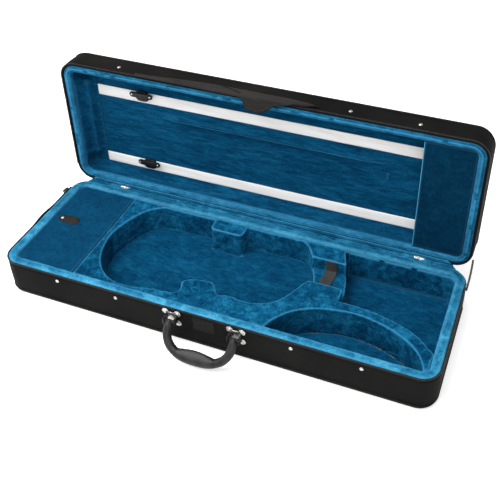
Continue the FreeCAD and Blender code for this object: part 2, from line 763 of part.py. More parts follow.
def bail():
    body = doc.addObject("PartDesign::Body", "bail")
    path = new_sketch(body)
    arm = V.post_spread
    reach, bend = V.handle_reach, V.handle_bend
    points = [
        Vector(-arm, 0, 0), Vector(-arm, bend - reach, 0), Vector(bend - arm, -reach, 0),
        Vector(arm - bend, -reach, 0), Vector(arm, bend - reach, 0), Vector(arm, 0, 0),
    ]
    centres = [Vector(bend - arm, bend - reach, 0), Vector(arm - bend, bend - reach, 0)]
    path.addGeometry(Part.LineSegment(points[0], points[1]), False)
    circle = Part.Circle(centres[0], Vector(0, 0, 1), bend)
    path.addGeometry(Part.ArcOfCircle(circle, math.pi, 1.5 * math.pi), False)
    path.addGeometry(Part.LineSegment(points[2], points[3]), False)
    circle = Part.Circle(centres[1], Vector(0, 0, 1), bend)
    path.addGeometry(Part.ArcOfCircle(circle, 1.5 * math.pi, 2 * math.pi), False)
    path.addGeometry(Part.LineSegment(points[4], points[5]), False)
    tangent = [(0, 2, 1, 1), (1, 2, 2, 1), (2, 2, 3, 1), (3, 2, 4, 1)]
    for ends in tangent:
        path.addConstraint(Sketcher.Constraint("Tangent", *ends))
    path.addConstraint(Sketcher.Constraint("Vertical", 0))
    path.addConstraint(Sketcher.Constraint("Horizontal", 2))
    path.addConstraint(Sketcher.Constraint("Vertical", 4))
    path.addConstraint(Sketcher.Constraint("PointOnObject", 0, 1, -1))
    path.addConstraint(Sketcher.Constraint("Symmetric", 0, 1, 4, 2, -2))
    path.addConstraint(Sketcher.Constraint("Equal", 1, 3))
    rule(path, Sketcher.Constraint("Radius", 1, bend), S.handle_bend)
    rule(path, Sketcher.Constraint("DistanceX", 0, 1, 4, 2, 2 * arm), f"2 * {S.post_spread}")
    rule(path, Sketcher.Constraint("DistanceY", 2, 1, -1, 1, reach), S.handle_reach)
    ring = new_sketch(body, "XZ_Plane")
    ring.addGeometry(Part.Circle(Vector(-arm, 0, 0), Vector(0, 0, 1), V.handle_rod), False)
    ring.addConstraint(Sketcher.Constraint("PointOnObject", 0, 3, -1))
    rule(ring, Sketcher.Constraint("DistanceX", 0, 3, -1, 1, arm), S.post_spread)
    rule(ring, Sketcher.Constraint("Radius", 0, V.handle_rod), S.handle_rod)
    pipe = body.newObject("PartDesign::AdditivePipe", "rod")
    pipe.Profile = ring
    pipe.Spine = path
    return body


def hang(thing):
    thing.Placement = HUNG.multiply(thing.Placement)
    return thing


ends = []
for side in ("-", ""):
    middle = f"{side}{S.post_spread}"
    ends.append(rod(S.handle_pin, f"2 * {CHEEK_OUT}", (f"{middle} - {CHEEK_OUT}", 0, 0), ALONG_X))
    ends.append(rod(EYE, f"2 * {EYE}", (f"{middle} - {EYE}", 0, 0), ALONG_X))
keep(hang(join("MultiFuse", [bail(), *ends])), "handle_bail")
grip_row = f"-{S.handle_reach}"
grip_shape = block(
    (f"-{S.grip_length} / 2", f"{S.grip_length} / 2"),
    (
        f"{grip_row} + {S.grip_inward} - {S.grip_width} / 2",
        f"{grip_row} + {S.grip_inward} + {S.grip_width} / 2",
    ),
    (f"-{S.grip_thickness} / 2", f"{S.grip_thickness} / 2"),
)
grip_bore = rod(
    f"{S.handle_rod} + {S.pin_fit}", f"{S.grip_length} + 2",
    (f"-{S.grip_length} / 2 - 1", grip_row, 0), ALONG_X,
)
keep(hang(cut(grip_shape, grip_bore)), "handle_grip")

# ---------------------------------------------------------------- the lid's shell
lid_seam = f"({LID_HIGH} - {S.seam_height})"
keep(
    dish(lid_seam, LID_HIGH, lid_seam, f"{LID_HIGH} - {S.cover_cloth}", False),
    "lid_top_cover", True,
)
keep(layer(LID_FLOOR, f"{LID_HIGH} - {S.cover_cloth}", S.cover_cloth), "lid_top_panel", True)
lid_zip_high = f"({LID_LOW} + {S.zip_height})"
keep(without_hinges(layer(lid_zip_high, lid_seam, 0, S.cover_cloth)), "lid_side_cover", True)
keep(
    layer(
        f"{lid_seam} - {S.piping_size} / 2", f"{lid_seam} + {S.piping_size} / 2",
        f"-{S.piping_proud}", 0,
    ),
    "lid_piping", True,
)
lid_bead_high = f"({LID_LOW} + {S.rim_bead})"
keep(
    without_hinges(layer(lid_bead_high, LID_FLOOR, S.cover_cloth, S.rim_width)),
    "lid_wall", True,
)
keep(
    without_hinges(bead(LID_LOW, lid_bead_high, S.lid_hem, S.rim_width, False)),
    "lid_rim_trim", True,
)
keep(
    without_hinges(layer(f"{LID_LOW} + {S.seat}", lid_zip_high, S.cover_cloth, S.lid_hem)),
    "lid_hem", True,
)
zip_tape(f"{LID_LOW} + {S.seat}", lid_zip_high, "lid_zip", True)

# ---------------------------------------------------------------- inside the lid
keep(layer(LINING, LID_FLOOR, INNER), "lid_lining_panel", True)
STRIP_UNDER = f"({LINING} - {S.strip_cloth})"
POCKET_UNDER = f"({LINING} - {S.pocket_cloth})"


def strip(place, name):
    """A smooth band across the lining, which the bow holders are fixed through."""
    keep(
        block(
            (f"-{S.strip_left}", S.strip_right),
            (f"{place} - {S.strip_width} / 2", f"{place} + {S.strip_width} / 2"),
            (STRIP_UNDER, LINING),
        ),
        name, True,
    )


strip(S.upper_strip_place, "upper_bow_strip")
strip(S.lower_strip_place, "lower_bow_strip")
keep(
    block(
        (f"-{S.pocket_left}", S.pocket_right),
        (S.pocket_top, f"{S.lower_strip_place} - {S.strip_width} / 2 - {S.seat}"),
        (POCKET_UNDER, LINING),
    ),
    "music_pocket", True,
)
tip_low = f"({LID_LOW} + {S.tip_pocket_depth})"
tip_panel = block(
    (S.tip_pocket_start, INNER_RIGHT), across, (tip_low, f"{tip_low} + {S.tip_pocket_board}")
)
lid_room = layer(LID_LOW, LID_FLOOR, INNER)
keep(join("MultiCommon", [tip_panel, lid_room]), "bow_tip_pocket", True)


def bow_holder(place, name):
    """A turning clip on a base: it holds a bow's stick against the lining."""
    base_low = f"({STRIP_UNDER} - {S.clip_base_height})"
    base = block(
        (
            f"{S.clip_place} - {S.clip_base_length} / 2",
            f"{S.clip_place} + {S.clip_base_length} / 2",
        ),
        (f"{place} - {S.clip_base_width} / 2", f"{place} + {S.clip_base_width} / 2"),
        (base_low, STRIP_UNDER),
    )
    bore = rod(
        f"{S.clip_pin_radius} + {S.pin_fit}", f"{S.clip_base_height} + 2",
        (S.clip_place, place, f"{base_low} - 1"),
    )
    keep(cut(base, bore), f"{name}_base", True)
    clip_high = f"({base_low} - {S.seat})"
    clip_low = f"({clip_high} - {S.clip_thickness})"
    half = f"({S.clip_length} - {S.clip_width}) / 2"
    bar = block(
        (f"{S.clip_place} - {half}", f"{S.clip_place} + {half}"),
        (f"{place} - {S.clip_width} / 2", f"{place} + {S.clip_width} / 2"), (clip_low, clip_high),
    )
    round_ends = [
        rod(
            f"{S.clip_width} / 2", S.clip_thickness,
            (f"{S.clip_place} {side} {half}", place, clip_low),
        )
        for side in "-+"
    ]
    stem = rod(S.clip_pin_radius, S.clip_base_height, (S.clip_place, place, clip_high))
    keep(join("MultiFuse", [bar, *round_ends, stem]), f"{name}_clip", True)


bow_holder(f"({S.upper_strip_place} - {S.clip_forward})", "upper_bow")
bow_holder(f"({S.lower_strip_place} - {S.clip_forward})", "lower_bow")
lid_low = V.tray_height + V.lid_gap
# The closing flap takes the place of the second one.
clear_of_flap = [x for x in rivet_places if x < -V.flap_left - V.rivet_radius or x > V.flap_right]
rivet_row(clear_of_flap, front, lid_low + V.lid_rivet_depth, "lid_rivets", True)

# ---------------------------------------------------------------- the closing flap
flap_y = front - V.flap_out
flap_z = lid_low - V.flap_below
flap_half = V.flap_cloth / 2
lip = flap_z + flap_half + V.seat
lip_high = lip + V.cover_cloth
band_top = lid_low + V.flap_band
band_inside = front - V.seat
band_outside = band_inside - V.cover_cloth
profile_pad(
    [
        (band_inside, band_top), (band_inside, lip), (flap_y - flap_half, lip),
        (flap_y - flap_half, lip_high), (band_outside, lip_high), (band_outside, band_top),
    ],
    V.flap_left + V.flap_right, (V.flap_right - V.flap_left) / 2, "flap_band", True,
)
# The loose half is drawn about its fold; it hangs straight down whether the lid is up or shut.
FOLD = FreeCAD.Placement(OPENED.multVec(Vector(0, flap_y, flap_z)), FreeCAD.Rotation())
half_cloth = f"{S.flap_cloth} / 2"
wings = block(
    (f"-{S.flap_left}", S.flap_right), (f"-{half_cloth}", half_cloth), (f"-{S.flap_drop}", "0")
)
tongue = block(
    (f"{S.flap_middle} - {S.tongue_width} / 2", f"{S.flap_middle} + {S.tongue_width} / 2"),
    (f"-{half_cloth}", half_cloth), (f"-{S.tongue_drop}", "0"),
)
fold_edge = rod(half_cloth, f"{S.flap_left} + {S.flap_right}", (f"-{S.flap_left}", 0, 0), ALONG_X)
flap = keep(join("MultiFuse", [wings, tongue, fold_edge]), "closing_flap")
flap.Placement = FOLD
loop_patch = block(
    (
        f"{S.flap_middle} - {S.tongue_width} / 2 + {S.loop_inset}",
        f"{S.flap_middle} + {S.tongue_width} / 2 - {S.loop_inset}",
    ),
    (half_cloth, f"{half_cloth} + {S.patch_cloth}"),
    (f"{S.loop_low} - {S.tongue_drop}", f"-{S.flap_drop}"),
)
loop = keep(wrap(loop_patch), "loop_patch")
loop.Placement = FOLD

# ---------------------------------------------------------------- the hinges
AXIS_ROW = f"({REAR} + {S.hinge_out})"
AXIS_HEIGHT = f"({S.tray_height} + {S.lid_gap} / 2)"
LEAF_IN = f"({REAR} - {S.cover_cloth} - {S.hinge_leaf})"
LEAF_OUT = f"({REAR} - {S.cover_cloth})"


def barrel(radius, low, high):
    return rod(radius, f"({high}) - ({low})", (low, AXIS_ROW, AXIS_HEIGHT), ALONG_X)


def hinge_half(middle, on_lid):
    """One leaf of a butt hinge with its knuckles: two on the tray's leaf, one on the lid's."""
    end = f"{S.hinge_length} / 2"
    inner_end = f"{S.hinge_length} / 4"
    outer = [
        (f"{middle} - {end}", f"{middle} - {inner_end} - {S.seat} / 2"),
        (f"{middle} + {inner_end} + {S.seat} / 2", f"{middle} + {end}"),
    ]
    centre = [(f"{middle} - {inner_end} + {S.seat} / 2", f"{middle} + {inner_end} - {S.seat} / 2")]
    reach = (f"{S.tray_height} - {S.hinge_leaf_height}", AXIS_HEIGHT)
    if on_lid:
        reach = (AXIS_HEIGHT, f"{LID_LOW} + {S.hinge_leaf_height}")
    own, others = (centre, outer) if on_lid else (outer, centre)
    leaf = block((f"{middle} - {end}", f"{middle} + {end}"), (LEAF_IN, LEAF_OUT), reach)
    room = [
        barrel(f"{S.knuckle_radius} + {S.seat}", f"{low} - {S.seat}", f"{high} + {S.seat}")
        for low, high in others
    ]
    for tool in room:
        leaf = cut(leaf, tool)
    knuckles = [barrel(S.knuckle_radius, low, high) for low, high in own]
    bore = barrel(
        f"{S.hinge_pin_radius} + {S.pin_fit}", f"{middle} - {end} - 1", f"{middle} + {end} + 1"
    )
    return cut(join("MultiFuse", [leaf, *knuckles]), bore)


places = [f"-{S.hinge_place}", S.hinge_place]
keep(join("MultiFuse", [hinge_half(x, False) for x in places]), "hinge_tray_leaves")
keep(join("MultiFuse", [hinge_half(x, True) for x in places]), "hinge_lid_leaves", True)
pins = [
    barrel(S.hinge_pin_radius, f"{x} - {S.hinge_length} / 2", f"{x} + {S.hinge_length} / 2")
    for x in places
]
keep(join("MultiFuse", pins), "hinge_pins")

# The cover's cloth carries on over the hinge line, with windows for the knuckles.
straight = f"({S.case_length} / 2 - {S.corner_radius})"
tape_in = f"({REAR} + {S.seat})"
tape_out = f"({tape_in} + {S.tape_cloth})"
upright = block(
    (f"-{straight}", straight), (tape_in, tape_out),
    (f"{S.tray_height} - {S.tape_reach}", AXIS_HEIGHT),
)
lying = wrap(
    block(
        (f"-{straight}", straight), (tape_in, tape_out),
        (AXIS_HEIGHT, f"{AXIS_HEIGHT} + {S.tape_reach}"),
    )
)
lying.Placement = OPENED
keep(cut(join("MultiFuse", [upright, lying]), hinge_room()), "hinge_tape")
# A narrow tape runs from the tray's right end up to the lid's corner.
stay = block((0, S.tape_cloth), (0, S.stay_length), (0, S.stay_width))
stay_turn = FreeCAD.Rotation(Vector(1, 0, 0), V.lid_open_angle / 2)
stay_y = V.case_width / 2 - V.corner_radius
stay_tape = keep(wrap(stay), "zip_end_tape")
stay_tape.Placement = FreeCAD.Placement(
    Vector(V.case_length / 2 + V.seat, stay_y, V.stay_start), stay_turn
)

# ---------------------------------------------------------------- the zip's slider
SLIDER_IN = f"(-{S.case_length} / 2 - {S.seat})"
SLIDER_OUT = f"({SLIDER_IN} - {S.slider_thickness})"
PULL_X = f"({SLIDER_OUT} - {S.pull_out})"
PULL_Z = f"({LID_LOW} - {S.slider_height} / 2)"
ear_place = f"({S.pull_width} + {S.ear_width}) / 2 + {S.seat}"
slider_parts = [
    block(
        (SLIDER_OUT, SLIDER_IN),
        (f"{S.slider_place} - {S.slider_length} / 2", f"{S.slider_place} + {S.slider_length} / 2"),
        (f"{LID_LOW} - {S.slider_height}", LID_LOW),
    ),
    rod(
        S.pull_rod, f"2 * ({ear_place}) + {S.ear_width}",
        (PULL_X, f"{S.slider_place} + {ear_place} + {S.ear_width} / 2", PULL_Z), TO_FRONT,
    ),
]
for side in ("-", "+"):
    ear = f"({S.slider_place} {side} ({ear_place}))"
    slider_parts.append(
        block(
            (f"{PULL_X} - {S.ear_half}", SLIDER_OUT),
            (f"{ear} - {S.ear_width} / 2", f"{ear} + {S.ear_width} / 2"),
            (f"{PULL_Z} - {S.ear_half}", f"{PULL_Z} + {S.ear_half}"),
        )
    )
keep(join("MultiFuse", slider_parts), "zip_slider")
pull_plate = block(
    (f"{PULL_X} - {S.pull_half}", f"{PULL_X} + {S.pull_half}"),
    (f"{S.slider_place} - {S.pull_width} / 2", f"{S.slider_place} + {S.pull_width} / 2"),
    (f"{PULL_Z} - {S.pull_length}", f"{PULL_Z} + {S.pull_half}"),
)
pull_bore = rod(
    f"{S.pull_rod} + {S.pin_fit}", f"{S.pull_width} + 2",
    (PULL_X, f"{S.slider_place} + {S.pull_width} / 2 + 1", PULL_Z), TO_FRONT,
)
keep(cut(pull_plate, pull_bore), "zip_pull")

# ---------------------------------------------------------------- check and write
doc.recompute()
for thing in doc.Objects:
    if "Invalid" in thing.State or "Error" in thing.State:
        raise RuntimeError(f"{thing.Name} ({thing.Label}) failed: {thing.State}")
os.makedirs("parts", exist_ok=True)
for thing in kept:
    shape = thing.Shape
    if shape.isNull() or not shape.isValid() or not shape.Solids:
        raise RuntimeError(f"{thing.Label} has no sound shape")
    shape.exportStep(f"parts/{thing.Label}.step")
print("handle pivot", tuple(round(v, 3) for v in pivot))
print("hinge line", round(AXIS_Y, 3), round(AXIS_Z, 3))
print("flap fold", tuple(round(v, 3) for v in FOLD.Base))
print(f"{len(kept)} pieces written")
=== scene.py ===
import json
import math

import bmesh
import bpy
import numpy as np
from mathutils import Matrix, Vector, noise

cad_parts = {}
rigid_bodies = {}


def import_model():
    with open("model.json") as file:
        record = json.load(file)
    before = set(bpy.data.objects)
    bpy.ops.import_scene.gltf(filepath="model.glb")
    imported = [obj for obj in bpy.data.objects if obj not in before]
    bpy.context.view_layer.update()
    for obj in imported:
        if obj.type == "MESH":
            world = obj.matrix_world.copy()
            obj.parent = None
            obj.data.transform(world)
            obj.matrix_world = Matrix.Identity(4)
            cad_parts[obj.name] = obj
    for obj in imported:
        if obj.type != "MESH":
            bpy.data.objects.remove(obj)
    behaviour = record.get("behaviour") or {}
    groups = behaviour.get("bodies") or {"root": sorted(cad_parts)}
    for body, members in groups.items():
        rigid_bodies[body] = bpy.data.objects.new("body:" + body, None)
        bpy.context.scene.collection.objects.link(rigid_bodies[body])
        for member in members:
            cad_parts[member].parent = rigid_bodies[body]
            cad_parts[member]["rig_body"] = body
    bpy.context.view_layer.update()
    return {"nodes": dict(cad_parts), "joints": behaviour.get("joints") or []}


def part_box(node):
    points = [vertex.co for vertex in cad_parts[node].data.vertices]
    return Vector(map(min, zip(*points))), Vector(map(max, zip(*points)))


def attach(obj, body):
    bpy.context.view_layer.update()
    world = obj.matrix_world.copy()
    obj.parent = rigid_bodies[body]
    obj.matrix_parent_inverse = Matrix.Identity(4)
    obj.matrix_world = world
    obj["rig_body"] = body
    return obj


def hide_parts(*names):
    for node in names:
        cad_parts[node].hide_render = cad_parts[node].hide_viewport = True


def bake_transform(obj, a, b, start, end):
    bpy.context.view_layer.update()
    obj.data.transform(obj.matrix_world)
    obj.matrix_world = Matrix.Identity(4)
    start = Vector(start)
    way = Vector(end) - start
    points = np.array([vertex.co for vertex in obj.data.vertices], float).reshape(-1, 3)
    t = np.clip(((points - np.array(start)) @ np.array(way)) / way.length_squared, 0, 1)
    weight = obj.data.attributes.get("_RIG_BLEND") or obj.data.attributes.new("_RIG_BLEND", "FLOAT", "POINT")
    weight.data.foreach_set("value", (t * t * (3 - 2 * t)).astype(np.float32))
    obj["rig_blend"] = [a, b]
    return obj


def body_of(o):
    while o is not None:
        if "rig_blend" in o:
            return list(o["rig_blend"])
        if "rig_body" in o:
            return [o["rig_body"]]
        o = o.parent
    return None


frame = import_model()

# ------------------------------------------------------------------ tray cover
# The tray's outside is one skin of black woven nylon, glued over a board shell. A
# dish of the same cloth wraps the base, with its edge turned up to a corded seam.
MM = 0.001
CORNER = 32.0
CORNER_STEPS = 14
CLOTH = 1.6
SEAM = 8.0
tray_low, tray_high = (Vector(v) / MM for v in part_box("tray_side_cover"))
LENGTH = tray_high.x - tray_low.x
WIDTH = tray_high.y - tray_low.y
ZIP_LOW = tray_high.z
RIM_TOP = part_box("tray_rim_trim")[1].z / MM


def stations(gap):
    """Anchors and outward directions round the case's plan, about gap mm apart."""
    x, y = LENGTH / 2 - CORNER, WIDTH / 2 - CORNER
    corners = [(x, -y, -90), (x, y, 0), (-x, y, 90), (-x, -y, 180)]
    found = []
    for k, (ax, ay, start) in enumerate(corners):
        for step in range(CORNER_STEPS + 1):
            turn = math.radians(start + 90 * step / CORNER_STEPS)
            found.append((ax, ay, math.cos(turn), math.sin(turn)))
        bx, by, _ = corners[(k + 1) % 4]
        count = max(2, round(math.hypot(bx - ax, by - ay) / gap))
        turn = math.radians(start + 90)
        for step in range(1, count):
            t = step / count
            found.append((ax + (bx - ax) * t, ay + (by - ay) * t, math.cos(turn), math.sin(turn)))
    return found


def ring(profile, gap=6.0, caps=False):
    """A profile of (inset, height) points carried round the plan. It closes on itself, or
    is capped at both ends. The profile may be a function of the station instead."""
    verts, faces = [], []
    places = stations(gap)
    for ax, ay, nx, ny in places:
        points = profile(ax, ay, nx, ny) if callable(profile) else profile
        for inset, z in points:
            reach = CORNER - inset
            verts.append((ax + nx * reach, ay + ny * reach, z))
    size, count = len(points), len(places)
    for k in range(count):
        after = (k + 1) % count
        for j in range(size if not caps else size - 1):
            up = (j + 1) % size
            faces.append((k * size + j, after * size + j, after * size + up, k * size + up))
    if caps:
        faces.append(tuple(k * size for k in range(count)))
        faces.append(tuple(k * size + size - 1 for k in reversed(range(count))))
    return verts, faces


def new_object(name, mesh):
    thing = bpy.data.objects.new(name, mesh)
    bpy.context.scene.collection.objects.link(thing)
    return thing


def smooth(mesh):
    mesh.polygons.foreach_set("use_smooth", [True] * len(mesh.polygons))
    return mesh


def swell(mesh, size, height, seed=0):
    """Moves a mesh in and out by smooth noise: bumps of about size mm, height mm high."""
    count = len(mesh.vertices)
    here, out = np.zeros(count * 3), np.zeros(count * 3)
    mesh.vertices.foreach_get("co", here)
    mesh.vertex_normals.foreach_get("vector", out)
    here, out = here.reshape(-1, 3), out.reshape(-1, 3)
    near = here / (size * MM) + seed * 7.3
    lift = np.array([noise.noise(Vector(p)) for p in near]) * height * MM
    here += out * lift[:, None]
    mesh.vertices.foreach_set("co", here.ravel())
    mesh.update()


def outward(name, shape, lid=False):
    """A mesh from (points in mm, faces), with every face turned outward."""
    mesh = bpy.data.meshes.new(name)
    mesh.from_pydata((np.array(shape[0], float) * MM).tolist(), [], shape[1])
    if lid:
        mesh.transform(OPENED)
    work = bmesh.new()
    work.from_mesh(mesh)
    bmesh.ops.recalc_face_normals(work, faces=work.faces)
    work.to_mesh(mesh)
    work.free()
    return mesh


def piece(name, shape, body, finish, stands_for=(), lid=False, bumps=()):
    """A finished piece from (points in mm, faces): it rides on its body in its place."""
    mesh = outward(name, shape, lid)
    for k, (size, height) in enumerate(bumps):
        swell(mesh, size, height, k)
    return dress(new_object(name, smooth(mesh)), body, finish, stands_for)


def dress(thing, body, finish, stands_for=()):
    thing.data.materials.clear()
    thing.data.materials.append(finish)
    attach(thing, body)
    if stands_for:
        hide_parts(*stands_for)
    return thing


def shader(name):
    """A new material's node tree and its main shader."""
    made = bpy.data.materials.new(name)
    made.use_nodes = True
    return made, made.node_tree, made.node_tree.nodes["Principled BSDF"]


def put(tree, kind, inputs=None, **settings):
    """Adds a shader node. An input is a plain value, or the socket that feeds it."""
    made = tree.nodes.new("ShaderNode" + kind)
    for key, value in settings.items():
        setattr(made, key, value)
    for key, value in (inputs or {}).items():
        if isinstance(value, bpy.types.NodeSocket):
            tree.links.new(value, made.inputs[key])
        else:
            made.inputs[key].default_value = value
    return made


def colours(tree, factor, stops):
    """A colour ramp from (place, colour) stops."""
    ramp = put(tree, "ValToRGB", {"Fac": factor})
    points = ramp.color_ramp.elements
    while len(points) < len(stops):
        points.new(0.5)
    for point, (place, colour) in zip(points, stops):
        point.position = place
        point.color = (*colour, 1)
    return ramp.outputs["Color"]


def grain(tree, stretch, scale, detail=4.0, distortion=0.0):
    """Noise on the object's own coordinates, stretched by three factors."""
    at = put(tree, "TexCoord").outputs["Object"]
    turned = put(tree, "Mapping", {"Vector": at, "Scale": stretch}).outputs["Vector"]
    made = put(
        tree, "TexNoise",
        {"Vector": turned, "Scale": scale, "Detail": detail, "Distortion": distortion},
    )
    return made.outputs["Fac"]


def sums(tree, parts):
    """The sum of sockets, each times its share."""
    total = None
    for socket, share in parts:
        scaled = put(tree, "Math", {0: socket, 1: share}, operation="MULTIPLY").outputs[0]
        if total is None:
            total = scaled
        else:
            total = put(tree, "Math", {0: total, 1: scaled}, operation="ADD").outputs[0]
    return total


def relief(tree, main, height, depth, strength=1.0):
    """Feeds a height, depth mm deep, into the shader's normal."""
    bump = put(tree, "Bump", {"Height": height, "Distance": depth * MM, "Strength": strength})
    tree.links.new(bump.outputs["Normal"], main.inputs["Normal"])


def threads(tree, period):
    """Ribs along all three axes, period mm apart, so that any flat side shows a weave."""
    at = put(tree, "TexCoord").outputs["Object"]
    ribs = []
    for way in "XYZ":
        wave = put(
            tree, "TexWave", {"Vector": at, "Scale": 314 / period, "Distortion": 0.6},
            bands_direction=way,
        )
        ribs.append((wave.outputs["Fac"], 0.33))
    return sums(tree, ribs)


def nylon(name, dark, wear_and_sheen, rough=0.62, period=1.1):
    """Close-woven black cloth with a faint dusty bloom where it is rubbed."""
    made, tree, main = shader(name)
    bloom = grain(tree, (1, 1, 1), 9, 7, 0.6)
    fine = grain(tree, (1, 1, 1), 420, 3)
    mixed = sums(tree, [(bloom, 0.75), (fine, 0.25)])
    base = colours(tree, mixed, [(0.35, dark), (0.72, wear_and_sheen)])
    tree.links.new(base, main.inputs["Base Color"])
    main.inputs["Roughness"].default_value = rough
    main.inputs["Specular IOR Level"].default_value = 0.05
    main.inputs["Sheen Weight"].default_value = 0.015
    main.inputs["Sheen Roughness"].default_value = 0.4
    main.inputs["Sheen Tint"].default_value = (0.8, 0.72, 0.66, 1)
    relief(tree, main, sums(tree, [(threads(tree, period), 0.7), (fine, 0.6)]), 0.35, 0.7)
    return made


cover_cloth = nylon("cover_cloth", (0.0035, 0.0035, 0.0036), (0.0105, 0.0098, 0.0092))
bend = 5.0
turned_edge = [
    (bend - bend * math.sin(a), bend - bend * math.cos(a))
    for a in (math.radians(d) for d in range(0, 91, 15))
]
base_rows = [(31, 0.0), (12, 0.0), *turned_edge, (0, SEAM), (CLOTH, SEAM)]
base_rows += [(CLOTH, bend), (bend, CLOTH), (12, CLOTH), (31, CLOTH)]
piece(
    "tray_base_cloth", ring(base_rows, caps=True), "tray", cover_cloth,
    ["tray_base_cover"],
)


def side_rows(low, high, bulge):
    """The upright cloth: full in the middle of its height, thin at both seams."""
    rows = []
    for k in range(13):
        t = k / 12
        rows.append((-bulge * math.sin(math.pi * t), low + (high - low) * t))
    return rows + [(CLOTH, high), (CLOTH, low)]


piece(
    "tray_side_cloth", ring(side_rows(SEAM, ZIP_LOW, 0.9)), "tray",
    cover_cloth, ["tray_side_cover"], bumps=[(70, 0.7), (22, 0.25)],
)

cord_cloth = nylon("cord_cloth", (0.008, 0.008, 0.0085), (0.02, 0.019, 0.018), 0.5, 0.8)


def tube_rows(inset, height, radius, sides=10):
    angles = [2 * math.pi * k / sides for k in range(sides)]
    return [(inset + radius * math.cos(a), height + radius * math.sin(a)) for a in angles]


piece(
    "tray_welt", ring(tube_rows(-0.1, SEAM, 1.35), 4), "tray", cord_cloth,
    ["tray_piping"],
)

# ------------------------------------------------------------------ hidden boards
# Thin plywood stiffens the base and the lid's top. The cover is glued round its edges
# and the padding inside hides it.
plywood, tree, main = shader("plywood")
rings = grain(tree, (1, 14, 14), 9, 5, 1.5)
tree.links.new(
    colours(tree, rings, [(0.3, (0.36, 0.22, 0.11)), (0.7, (0.58, 0.40, 0.23))]),
    main.inputs["Base Color"],
)
main.inputs["Roughness"].default_value = 0.7
relief(tree, main, rings, 0.2)
for board in ("tray_base_panel", "lid_top_panel"):
    node = frame["nodes"][board]
    node.data.materials.clear()
    node.data.materials.append(plywood)

# ------------------------------------------------------------------ plush rim
# A padded bead of short blue pile runs round the tray's mouth, brushed along the rim by
# use. Its plush is a paler copy of the blue, a painted highlight for the light on the bead,
# and it is painted darker towards the back of the case, as painted shade.


def plush(name, deep, middle, pale, stretch=(1, 1, 1), edge=0.5, scale=16.0, spread_of=0.1,
          shade_to_rear=None):
    """Short brushed pile: cloudy patches, streaks along stretch, and pale edges that are partly
    wear and partly a painted highlight where the pile catches the light. Given a rear span,
    the colour is painted darker towards the back of the case, as painted shade."""
    made, tree, main = shader(name)
    patches = grain(tree, stretch, scale, 6, 1.1)
    strokes = grain(tree, stretch, scale * 5, 5, 0.8)
    fine = grain(tree, (1, 1, 1), 520, 2)
    mixed = sums(tree, [(patches, 0.3), (strokes, 0.4), (fine, 0.3)])
    base = colours(
        tree, mixed, [(0.5 - spread_of, deep), (0.5, middle), (0.51 + spread_of, pale)]
    )
    # Painted shade: the colour is multiplied darker from the first Y to the second, towards the back of the
    # case.
    if shade_to_rear:
        at = put(tree, "TexCoord").outputs["Object"]
        depth = put(tree, "SeparateXYZ", {0: at}).outputs["Y"]
        turn = put(
            tree, "MapRange", {"Value": depth, "From Min": shade_to_rear[0], "From Max": shade_to_rear[1]}
        ).outputs["Result"]
        shade = tree.nodes.new("ShaderNodeMix")
        shade.data_type = "RGBA"
        shade.blend_type = "MULTIPLY"
        tree.links.new(turn, shade.inputs[0])
        tree.links.new(base, shade.inputs[6])
        shade.inputs[7].default_value = (0.34, 0.52, 0.56, 1)
        base = shade.outputs[2]
    # Painted highlight, partly wear: sharp edges are mixed towards a paler blue, where the pile catches the
    # light.
    sharp = put(tree, "NewGeometry").outputs["Pointiness"]
    wear_and_sheen = put(
        tree, "MapRange", {"Value": sharp, "From Min": 0.508, "From Max": 0.545, "To Max": edge}
    ).outputs["Result"]
    mix = tree.nodes.new("ShaderNodeMix")
    mix.data_type = "RGBA"
    tree.links.new(wear_and_sheen, mix.inputs[0])
    tree.links.new(base, mix.inputs[6])
    mix.inputs[7].default_value = (*(min(1, 1.3 * c + 0.02) for c in pale), 1)
    tree.links.new(mix.outputs[2], main.inputs["Base Color"])
    main.inputs["Roughness"].default_value = 0.95
    main.inputs["Specular IOR Level"].default_value = 0.03
    main.inputs["Sheen Weight"].default_value = 0.26
    main.inputs["Sheen Roughness"].default_value = 0.3
    main.inputs["Sheen Tint"].default_value = (0.04, 0.46, 0.80, 1)
    relief(tree, main, sums(tree, [(fine, 0.5), (strokes, 0.9), (patches, 0.8)]), 1.6, 0.6)
    return made


DEEP, BLUE, PALE = (0.0008, 0.030, 0.075), (0.0022, 0.074, 0.165), (0.012, 0.160, 0.305)
# Painted highlight: the bead's plush is a paler copy of the blue, for the light that falls on it.
rim_plush = plush(
    "rim_plush", (0.004, 0.085, 0.185), (0.018, 0.185, 0.345), (0.075, 0.37, 0.58), (0.5, 0.5, 1.5),
    shade_to_rear=(-0.02, 0.125),
)
BEAD = 19.0


def bead_rows(foot, crown, side):
    """The bead's section between its foot and its crown; side is its outer edge's inset."""
    up = 1 if crown > foot else -1
    shape = [
        (side, 0.0), (side, 3.4), (side + 0.5, 5.0), (side + 1.6, 6.3), (side + 3.3, 7.2),
        (side + 5.6, 7.7), (9.5, 7.8), (12.0, 7.75), (14.2, 7.4), (16.2, 6.6), (17.8, 5.2),
        (BEAD - 0.3, 3.4), (BEAD, 1.4), (BEAD, 0.0),
    ]
    return [(inset, foot + up * height) for inset, height in shape]


BEAD_HIGH = 8.0
piece(
    "tray_rim", ring(bead_rows(RIM_TOP - BEAD_HIGH, RIM_TOP, CLOTH), 3), "tray",
    rim_plush, ["tray_rim_trim"], bumps=[(16, 0.45), (5, 0.25)],
)

